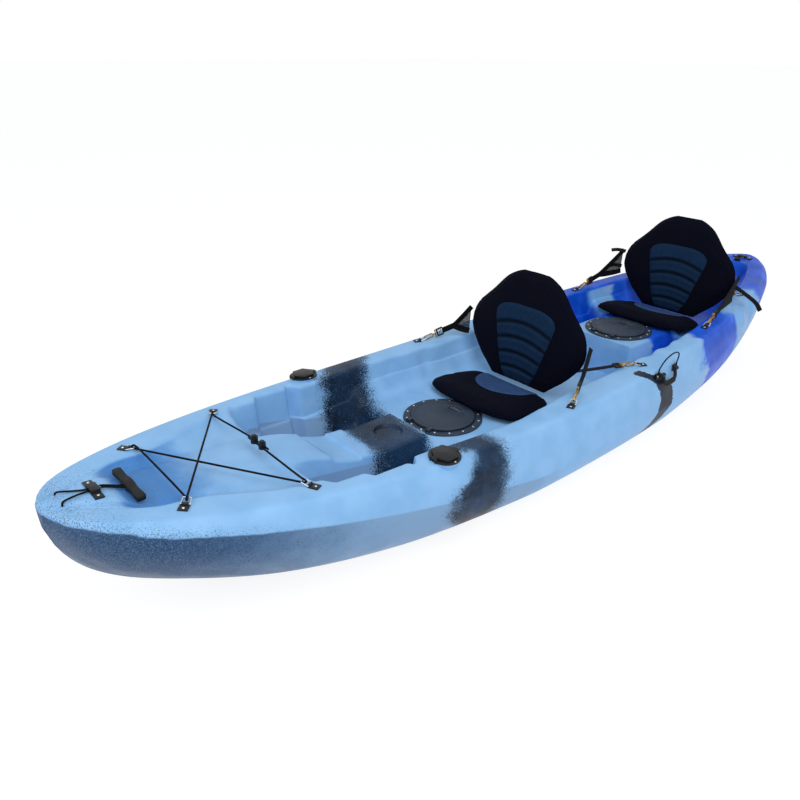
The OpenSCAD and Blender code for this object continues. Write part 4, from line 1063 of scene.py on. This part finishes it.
def cord_line(name, points, diameter, body, node):
    route = [p * MM for p in smooth_route(points, 4)]
    obj = piece(name, lofted(capped(swept(route, diameter * MM / 2), 0.001)), 60)
    dress(obj, body, "cord", finish("cord"), node)
    sum((b - a).length for a, b in zip(route, route[1:]))


def bungee():
    front, rear = BOW_EYES
    lock_x, lock_z = rear[0] + 2, crest_z(rear[0]) + 10
    first, last = ([(lock_x + strand, y, lock_z) for y in (-LOCK_TAIL, LOCK_TAIL)]
                   for strand in (LOCK_STRAND, -LOCK_STRAND))
    turns = ((rear, 1, HOOK_IN), (front, -1, HOOK_OUT), (front, 1, HOOK_OUT), (rear, -1, HOOK_IN))
    hooked = [eye_point(eye, side, q) for eye, side, hook in turns for q in hook]
    cord_line("bow_bungee", [*first, *hooked, *last], BUNGEE_D, "hull_body", "bungee_cord")


def toggle():
    hole_x, hole_y = CORD_HOLE
    deck = crest_z(hole_x) + DECK_CROWN
    guide_z = crest_z(GUIDE_X) + DECK_CROWN
    lead_x, lead_z = GUIDE_X - 16, guide_z + 4.5
    grip_z = top_z(GRIP_X + 6.5) + 15
    for side, name in SIDES:
        line = [(hole_x, hole_y, deck - 26), (hole_x, hole_y, deck + 1), (hole_x - 2, hole_y - 1, deck + 4.6),
                (hole_x - 9, hole_y - 4, deck + 6.5), (GUIDE_X + 34, 8, guide_z + 9),
                (GUIDE_X + 12, GUIDE_Y, lead_z + 1.2), (lead_x, GUIDE_Y, lead_z)]
        lead = [(x, GUIDE_Y, z) for x, z in ((lead_x - 3, lead_z), (lead_x - 16, lead_z - 4), (GRIP_X + 19, grip_z),
                                             (GRIP_X + 4, grip_z))]
        for kind, node, body, points in (("line", "toggle_cord", "hull_body", line),
                                         ("lead", "toggle_lead", "toggle", lead)):
            points = [(x, side * y, z) for x, y, z in points]
            cord_line(f"toggle_{kind}_{name}", points, LINE_D, body, node)
    toggle_grip(grip_z)


def toggle_grip(z):
    """The moulded toggle: a flattened bar with squared, flared ends and a raised middle."""
    shape = TOGGLE_SHAPE + [(-y, w, h) for y, w, h in TOGGLE_SHAPE[-2::-1]]
    rings = [scaled([(GRIP_X + w * squared(c, 0.55), y, z + h * squared(s, 0.55)) for c, s in around(32)])
             for y, w, h in shape]
    obj = piece("toggle_grip_moulded", lofted(capped(rings, 0.001, (0.9, 0.5, 0.0))), 50)
    dress(obj, "toggle", "grip_rubber", finish("rubber"), "toggle_grip")


def side_grip(place, name):
    """A bowed tubular grip with finger ribs, hung between its two eyes."""
    half = [(-GRIP_ARM, 0), (-GRIP_ARM, 20), (-GRIP_ARM + 4, GRIP_DROP - 6), (-GRIP_ARM + 18, GRIP_DROP + 1),
            (0, GRIP_DROP + 3)]
    points = half + [(-x, y) for x, y in half[-2::-1]]
    route = smooth_route([(x, y, AXLE_Z) for x, y in points], 8)
    rings = []
    for middle, ring in zip(route, swept(route, 1.0, 20)):
        thick = ease(clamp01(1 - abs(middle.x) / GRIP_SOFT), 0.0, 0.25)
        r = GRIP_R + GRIP_SWELL * thick + RIB_H * thick * cos(middle.x * RIB_TURN)
        rings.append([tuple(place @ ((middle + (p - middle) * r) * MM)) for p in ring])
    bm = lofted(capped(rings, 0.002))
    for end in (-GRIP_ARM, GRIP_ARM):
        turn = place @ shifted(end, 0, AXLE_Z) @ Matrix.Rotation(pi / 2, 4, "Y")
        cylinder(bm, (0, 0, -GRIP_EYE_W / 2), GRIP_EYE_R, GRIP_EYE_W, 32, matrix=turn)
    bmesh.ops.recalc_face_normals(bm, faces=bm.faces)
    dress(piece("side_grip_tube_" + name, bm, 45), f"side_grip_{name}_body", "grip_rubber", finish("rubber"),
          "side_grip_" + name)


class KAYAK_OT_cords(Step, Operator):
    """Bow bungee, toggle, paddle loops and side grips"""
    bl_idname = "kayak.cords"
    bl_label = "Cords"

    def build(self, scene):
        bungee()
        toggle()
        for side, name in SIDES:
            points = LOOP_HALF + [(-x, y, z) for x, y, z in LOOP_HALF[-2::-1]]
            points = [handle_place(side) @ (Vector(p) * MM) / MM for p in points]
            cord_line("paddle_loop_" + name, points, LINE_D, "hull_body", "paddle_loops")
        for side, name in SIDES:
            side_grip(handle_place(side), name)


# Seats, in millimetres of their own frames
FOLD = [(55, SEAT_FLOOR + 1), (55 - 1075, REAR_FLOOR + 1)]
LID_TOP, LID_R = 13.6, 116
PAD_START, PAD_SINK, PAD_SHARE = 8, 1.6, 290 / 340
PAD_EDGES = [(0, 175), (40, 205), (140, 232), (230, 240), (285, 226), (318, 180), (334, 120), (340, 60)]
PAD_ROWS = (0, 4, 10, 20, 34, 52, 70, 95, 120, 145, 170, 195, 220, 240, 260, 278, 294, 306, 316, 324, 331, 336, 340)
PAD_END, PAD_RISE, PAD_FALL, PAD_EDGE_Z, PAD_CROWN, PAD_UNDER = 340, 60, 40, 8, 27, 4
DISH_X, DISH_L, DISH_WIDE, DISH_RIM, DISH_SINK = 60, 190, 0.72, 6, 3
INSET_X0, INSET_L, INSET_HALF, INSET_H, SEW_IN, RIM_RUN = 6, 158, 128, 3.6, 5, 12
BACK_BASE, BACK_DX, BACK_Z, BACK_LEAN, BACK_TOP = 6, -24, 10, 8, 435
BACK_SHARE, BACK_WIDE = 450 / BACK_TOP, 290 / 303
BACK_FACE, BACK_PUFF, BACK_WRAP, BACK_REAR = 6, 18, 10, 4
BACK_WIDTHS = [(0, 140), (35, 180), (80, 236), (105, 262), (135, 288), (170, 303), (215, 300), (250, 287), (282, 262),
               (310, 230), (335, 204), (372, 170), (400, 138), (420, 100), (430, 68), (435, 45)]
BACK_ROWS = (3, 8, 16, 28, 44, 62, 82, 104, 126, 148, 170, 192, 214, 236, 256, 276, 296, 316, 336, 356, 374, 390, 404,
             416, 424, 430)
PANEL_BOTTOM, PANEL_TOP = 10, 300
PANEL_WIDTHS = [(10, 62), (60, 88), (150, 116), (230, 138), (262, 140), (285, 118), (296, 84), (300, 50)]
CHANNELS, CHANNEL_DIP, CHANNEL_HALF = [62, 119, 177, 236], 26, 130
QUILT_ROWS, QUILT_COLS, QUILT_H, QUILT_LIFT, QUILT_SINK, PIPING_START = 117, 40, 7.4, 1.2, 2.5, 6
# Near the fold a cover keeps its sewn shape, so that pad and back clear each other
FOLD_STILL, FOLD_FREE = 60, 160
CLOTH_PRESSURE, CLOTH_FRAMES = 4, 20


def pad_place(k):
    x, z = HATCHES[k]
    tilt = atan2(z + LID_TOP + 1 - FOLD[k][1], x - LID_R - FOLD[k][0])
    place = shifted(FOLD[k][0], 0, FOLD[k][1]) @ Matrix.Rotation(-tilt, 4, "Y")
    return place @ shifted(PAD_START, 0, -PAD_SINK)


def back_place(k):
    place = shifted(FOLD[k][0] + BACK_DX, 0, FOLD[k][1] + BACK_Z)
    return place @ Matrix.Rotation(-radians(BACK_LEAN), 4, "Y")


def back_w(s):
    return curve(s, BACK_WIDTHS) * BACK_WIDE


def back_z(s):
    return s * BACK_SHARE + BACK_BASE


def back_crown(s, v):
    return (1 - abs(v) ** 5) * rim_rise(s, BACK_TOP - s, 50)


def rim_rise(a, b, run):
    """Rise from the two ends of a form to its full height."""
    return sqrt(clamp01(a / run)) * sqrt(clamp01(b / run))


def dish(x, v):
    """Rise of the pad's rolled rim round its sunken middle."""
    far = hypot((x - DISH_X) / DISH_L, v / DISH_WIDE)
    return DISH_RIM * ease(far, 0.8, 1.0) - DISH_SINK * (1 - ease(far, 0.3, 0.85))


def crowded(n=32):
    """Places from -1 to 1 that crowd towards both ends."""
    return [-cos(pi * j / n) for j in range(n + 1)]


def channel(s, y):
    """Signed distance from the nearest sewn channel of a quilt."""
    return min((s - c + CHANNEL_DIP * (y / CHANNEL_HALF) ** 2 for c in CHANNELS), key=abs)


def swollen(obj, voxel, puff, axis):
    """Remeshes a cover, inflates it as cloth and caps how far it may swell; axis points away from the fold."""
    remesh = obj.modifiers.new("Remesh", "REMESH")
    remesh.mode, remesh.voxel_size = "VOXEL", voxel
    baked(obj)
    rest = np.array([v.co for v in obj.data.vertices], float)
    cloth = obj.modifiers.new("Cloth", "CLOTH")
    cloth.settings.use_pressure = True
    cloth.settings.uniform_pressure_force = CLOTH_PRESSURE
    cloth.settings.effector_weights.gravity = 0
    cloth.point_cache.frame_start, cloth.point_cache.frame_end = 1, CLOTH_FRAMES
    scene = bpy.context.scene
    for f in range(1, CLOTH_FRAMES + 1):
        scene.frame_set(f)
    graph = bpy.context.evaluated_depsgraph_get()
    shaped = obj.evaluated_get(graph).to_mesh()
    moved = np.array([v.co for v in shaped.vertices], float) - rest
    obj.evaluated_get(graph).to_mesh_clear()
    obj.modifiers.clear()
    scene.frame_set(1)
    reach = np.linalg.norm(moved, axis=1, keepdims=True)
    far = np.clip((rest[:, axis:axis + 1] / MM - FOLD_STILL) / (FOLD_FREE - FOLD_STILL), 0, 1)
    moved *= far * far * (3 - 2 * far) * np.minimum(1, puff / np.maximum(reach, 1e-9))
    obj.data.vertices.foreach_set("co", (rest + moved).astype(np.float32).ravel())
    obj.data.update()
    smooth = obj.modifiers.new("Smooth", "SMOOTH")
    smooth.factor, smooth.iterations = 0.5, 4
    baked(obj)
    return obj


def search_tree(obj):
    bm = bmesh.new()
    bm.from_mesh(obj.data)
    found = BVHTree.FromBMesh(bm)
    bm.free()
    return found


def cover(form, name, part, place, fill):
    obj = bpy.data.objects.new(f"{name}_{part}_cover", form.data.copy())
    obj.data.transform(place)
    obj.data.shade_smooth()
    bpy.context.scene.collection.objects.link(obj)
    dress(obj, f"{name}_{part}", "seat_fabric", finish("cover"), f"{name}_seat_{part}")


def pad_form():
    rings = []
    for x in PAD_ROWS:
        w = curve(x, PAD_EDGES) - SEW_IN
        crown = sqrt(clamp01((x + 2) / PAD_RISE)) * sqrt(clamp01((PAD_END + 2 - x) / PAD_FALL))
        top = [(x * PAD_SHARE, w * v, PAD_EDGE_Z + (PAD_CROWN + dish(x, v)) * (1 - v ** 6) * crown)
               for v in crowded()[::-1]]
        low = [(x * PAD_SHARE, 0.97 * w * v, PAD_UNDER + 2 * v * v) for v in crowded()[1:-1]]
        rings.append(scaled(top + low))
    return piece("pad_form", shut(rings))


def back_form():
    rings = []
    for s in BACK_ROWS:
        w, z = back_w(s) - SEW_IN, back_z(s)
        front = [(BACK_FACE + BACK_PUFF * back_crown(s, v) + BACK_WRAP * v * v, w * v, z) for v in crowded()]
        rear = [(BACK_WRAP * v * v - BACK_FACE - BACK_REAR * back_crown(s, v), w * v, z) for v in crowded()[-2:0:-1]]
        rings.append(scaled(front + rear))
    return piece("back_form", shut(rings))


def met(tree, start, way, axis, missed):
    """Where a ray along an axis meets a cover."""
    hit = tree.ray_cast(Vector(start), Vector(way))[0]
    return hit[axis] if hit else missed


def pad_inset(name, place, tree):
    """The lighter patch sewn on the pad, straight along the fold and round in front."""
    rows = 26
    rings = []
    for i in range(rows + 1):
        u = 1 - (1 - i / rows) ** 2
        w = INSET_HALF * (1 - (0.998 * u) ** 2.3) ** 0.5
        ring = []
        for v in crowded(36):
            x, y = (INSET_X0 + INSET_L * u) * MM, w * v * MM
            rim = sqrt(clamp01((1 - abs(v)) * w / RIM_RUN)) * sqrt(clamp01((1 - u) * INSET_L / RIM_RUN))
            z = met(tree, (x, y, 0.3), (0, 0, -1), 2, 0.03)
            ring.append((x, y, z + (0.6 + INSET_H * rim) * MM))
        under = [(x, y, z - 0.004) for x, y, z in ring[::-1]]
        rings.append([tuple(place @ Vector(p)) for p in ring + under])
    obj = piece(name + "_pad_inset", shut(rings), 60)
    dress(obj, name + "_pad", "inset_fabric", finish("pad_inset"))


def piping(seat, part, label, place, tree, half, r):
    """A welt laid on a cover along an outline; half is its port side."""
    outline = half + [(x, -y, z) for x, y, z in half[::-1]]
    rings = swept([place @ tree.find_nearest(Vector(p) * MM)[0] for p in outline], r, 8, True)
    obj = piece(f"{seat}_{part}_piping_{label}", lofted(rings + [rings[0]]), 60)
    dress(obj, f"{seat}_{part}", "seat_fabric", finish("cover"))


def pad_piping(seat, place, tree, r):
    """Two seams round the pad's edge, above and below its wall."""
    rows = spread(PIPING_START, 328, 60)
    for level, shrink, z in (("top", 0.955, 30), ("low", 1.0, 4)):
        half = [(x * PAD_SHARE, curve(x, PAD_EDGES) * 0.985 * shrink - 3, z) for x in rows]
        piping(seat, "pad", level, place, tree, half, r)


def quilt(name, place, tree):
    """The quilted inset: five puffed bands between curved sewn channels."""
    rings = []
    for s in spread(PANEL_BOTTOM, PANEL_TOP - PANEL_BOTTOM, QUILT_ROWS):
        w, z = curve(s, PANEL_WIDTHS), back_z(s) * MM
        rim_s = rim_rise(s - PANEL_BOTTOM, PANEL_TOP - s, RIM_RUN)
        front, rear = [], []
        for v in crowded(QUILT_COLS):
            y = w * v
            away = channel(s, y)
            puff = ease(abs(away), 2, 13) + 0.35 * ease(-away, 4, 14) * ease(-away, 34, 16)
            rim = sqrt(clamp01((1 - abs(v)) / 0.16)) * rim_s
            face = met(tree, (0.3, y * MM, z), (-1, 0, 0), 0, 0.02)
            front.append((face + (QUILT_LIFT + rim * (QUILT_LIFT + QUILT_H * puff)) * MM, y * MM, z))
            rear.append((face - QUILT_SINK * MM, y * MM, z))
        rings.append([tuple(place @ Vector(p)) for p in front + rear[::-1]])
    obj = piece(name + "_back_quilt", shut(rings), 70)
    # seam is near 1 along each sewn channel, where the cloth gets the seam line and painted shade in the channel
    seam = obj.data.attributes.new("seam", "FLOAT", "POINT")
    home = place.inverted()
    for v in obj.data.vertices:
        p = home @ v.co / MM
        seam.data[v.index].value = 1 - ease(abs(channel((p.z - BACK_BASE) / BACK_SHARE, p.y)), 3, 10)
    dress(obj, name + "_back", "inset_fabric", finish("inset"), name + "_seat_panel")


def back_piping(seat, place, tree, r):
    """A binding round the outline and a seam set in from it on the front."""
    for label, inset, x in (("edge", 0.0, 12), ("seam", 30.0, 50)):
        rows = spread(PIPING_START + inset * 0.8, 424 - inset * 1.6, 70)
        half = [(x, max(20.0, back_w(s) - 4 - inset), back_z(s)) for s in rows]
        piping(seat, "back", label, place, tree, half, r)


class KAYAK_OT_seats(Step, Operator):
    """Padded seat pads, backs and their quilted insets"""
    bl_idname = "kayak.seats"
    bl_label = "Seats"

    def build(self, scene):
        s = scene.kayak_seat
        pad = swollen(pad_form(), s.voxel, s.puff, 0)
        back = swollen(back_form(), s.voxel, s.puff, 2)
        pad_tree, back_tree = search_tree(pad), search_tree(back)
        for k, name in enumerate(SEATS):
            place = pad_place(k)
            cover(pad, name, "pad", place, 0.75)
            pad_inset(name, place, pad_tree)
            pad_piping(name, place, pad_tree, s.piping_r)
            place = back_place(k)
            cover(back, name, "back", place, 0.8)
            quilt(name, place, back_tree)
            back_piping(name, place, back_tree, s.piping_r)
        discard(pad, back)


# Straps: a hook, a buckle and the pull between them, then webbing
HOOK_L, BUCKLE_L, HOOK_PULL = 50, 26, 3.1
WEB_HALF_W, WEB_HALF_T, TAIL_HALF_W, RIBBON_STEPS = 12.5, 1, 11, 24
NET_ROWS, NET_COLS, NET_HALF_T, NET_SHARE = 12, 8, 0.4, 0.47
JOIN_OUT, JOIN_LAP = 50, 12
# Where webbing is sewn to a back: height, share of the half width, depth
FORE_ROOT, FORE_HIGH, FORE_LOW = (175, 1.012, 12), (225, 1.03, 12), (128, 1.06, 12)
AFT_ROOT = (105, 0.8, -14.5)
# Loose strap ends of the rear seat, from the edge of its back
TAILS = {
    "port": [(-1044, 284, 488), (-1060, 312, 470), (-1082, 346, 444), (-1100, 378, 418), (-1106, 396, 388)],
    "starboard_high": [(-1049, -272, 528), (-1040, -292, 532), (-1028, -312, 533), (-1014, -330, 528)],
    "starboard_low": [(-1038, -276, 455), (-1030, -294, 458), (-1020, -312, 458), (-1008, -326, 452)],
}


def back_point(k, side, place):
    s, v, x = place
    return back_place(k) @ (Vector((x, back_w(s) * side * v, back_z(s))) * MM) / MM


def strap_ring(p, across, out, half_w):
    """A flat section of webbing with rounded edges."""
    return [tuple((p + across * half_w * squared(c, 0.35) + out * WEB_HALF_T * squared(s, 0.6)) * MM)
            for c, s in around(12)]


def tail(name, route):
    """A webbing end that sticks out of the rear back's hem."""
    rings = []
    for i, p in enumerate(route):
        t = (route[min(i + 1, len(route) - 1)] - route[max(i - 1, 0)]).normalized()
        across = t.cross(Vector((0.5, 0.2, 0.8))).normalized()
        rings.append(strap_ring(p, across, t.cross(across), TAIL_HALF_W))
    dress(piece("rear_strap_end_" + name, shut(rings), 50), "rear_back", "webbing", finish("webbing"))


def wing(k, join, high, low, name, start, end):
    """The net sewn between the two arms of a fore strap."""
    normal = (high - join).cross(low - join).normalized() * NET_HALF_T
    rings = []
    for i in range(NET_ROWS + 1):
        u = 0.14 + 0.84 * i / NET_ROWS
        row = [join + (low.lerp(high, j / NET_COLS) - join) * u for j in range(NET_COLS + 1)]
        rings.append(scaled([p + normal for p in row] + [p - normal for p in row[::-1]]))
    bm = lofted(rings)
    bmesh.ops.holes_fill(bm, edges=bm.edges, sides=40)
    obj = piece(f"{SEATS[k]}_strap_net_{name}", bm, 60)
    obj.data.materials.append(finish("net"))
    width, reach = (high - low).length * MM, (high.lerp(low, 0.5) - join).length * MM
    start * MM
    end * MM
    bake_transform(obj)


def ribbon(start, end, up, sag):
    """A straight or sagging run of webbing."""
    t = (end - start).normalized()
    across = t.cross(Vector(up)).normalized()
    out = t.cross(across).normalized()
    places = [i / RIBBON_STEPS for i in range(RIBBON_STEPS + 1)]
    return shut([strap_ring(start.lerp(end, u) + Vector((0, 0, -sag * 4 * u * (1 - u))), across, out, WEB_HALF_W)
                 for u in places])


def strap(i, side, name):
    k, fore = i // 2, i % 2 == 0
    eye, end = eye_point(SEAT_EYES[i], side, RING_END), back_point(k, side, FORE_ROOT if fore else AFT_ROOT)
    way = (end - eye).normalized()
    start = eye + way * (HOOK_L + BUCKLE_L + 1 + HOOK_PULL)
    if fore:
        join = eye + way * (HOOK_L + BUCKLE_L + JOIN_OUT + HOOK_PULL)
        high, low = back_point(k, side, FORE_HIGH), back_point(k, side, FORE_LOW)
        up = (0, 1, 0.2)
        runs = [(start, join + way * JOIN_LAP, up, 0), (join, high, up, 1.5), (join, low, up, 3)]
    else:
        runs = [(start, end, (0, 0, 1), 2)]
    bm = bmesh.new()
    for run in runs:
        part = ribbon(*run)
        mesh = bpy.data.meshes.new("run")
        part.to_mesh(mesh)
        part.free()
        bm.from_mesh(mesh)
        bpy.data.meshes.remove(mesh)
    label = "fore" if fore else "aft"
    obj = piece(f"{SEATS[k]}_{label}_strap_{name}", bm, 50)
    obj.data.materials.append(finish("webbing"))
    start * MM
    end * MM
    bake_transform(obj)
    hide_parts(f"{SEATS[k]}_seat_{label}_straps")
    if fore:
        wing(k, join, high, low, name, start, end)


class KAYAK_OT_straps(Step, Operator):
    """Webbing straps from the seat backs to the deck eyes"""
    bl_idname = "kayak.straps"
    bl_label = "Straps"

    def build(self, scene):
        for i in range(len(SEAT_EYES)):
            for side, name in SIDES:
                strap(i, side, name)
        for name, points in TAILS.items():
            tail(name, smooth_route(points, 5))


class KAYAK_PT_panel(Panel):
    """Lists the settings and the steps that dress the kayak"""
    bl_label = "Kayak"
    bl_idname = "KAYAK_PT_panel"
    bl_space_type = "VIEW_3D"
    bl_region_type = "UI"
    bl_category = "Kayak"

    def draw(self, context):
        for name, settings in SETTINGS.items():
            for key in settings.__annotations__:
                self.layout.prop(getattr(context.scene, name), key)
        for step in STEPS_IN_ORDER:
            self.layout.operator(step.bl_idname)


STEPS_IN_ORDER = (KAYAK_OT_stage, KAYAK_OT_cords, KAYAK_OT_hull, KAYAK_OT_fittings, KAYAK_OT_seats, KAYAK_OT_straps)
SETTINGS = {"kayak_hull": KayakHullSettings, "kayak_seat": KayakSeatSettings, "kayak_trim": KayakTrimSettings,
            "kayak_stage": KayakStageSettings}


def register():
    for name, settings in SETTINGS.items():
        bpy.utils.register_class(settings)
        setattr(bpy.types.Scene, name, PointerProperty(type=settings))
    for step in (*STEPS_IN_ORDER, KAYAK_PT_panel):
        bpy.utils.register_class(step)


def unregister():
    for step in (KAYAK_PT_panel, *reversed(STEPS_IN_ORDER)):
        bpy.utils.unregister_class(step)
    for name, settings in SETTINGS.items():
        delattr(bpy.types.Scene, name)
        bpy.utils.unregister_class(settings)


def main():
    register()
    for step in STEPS_IN_ORDER:
        family, name = step.bl_idname.split(".")
        getattr(getattr(bpy.ops, family), name)()


if __name__ == "__main__":
    main()
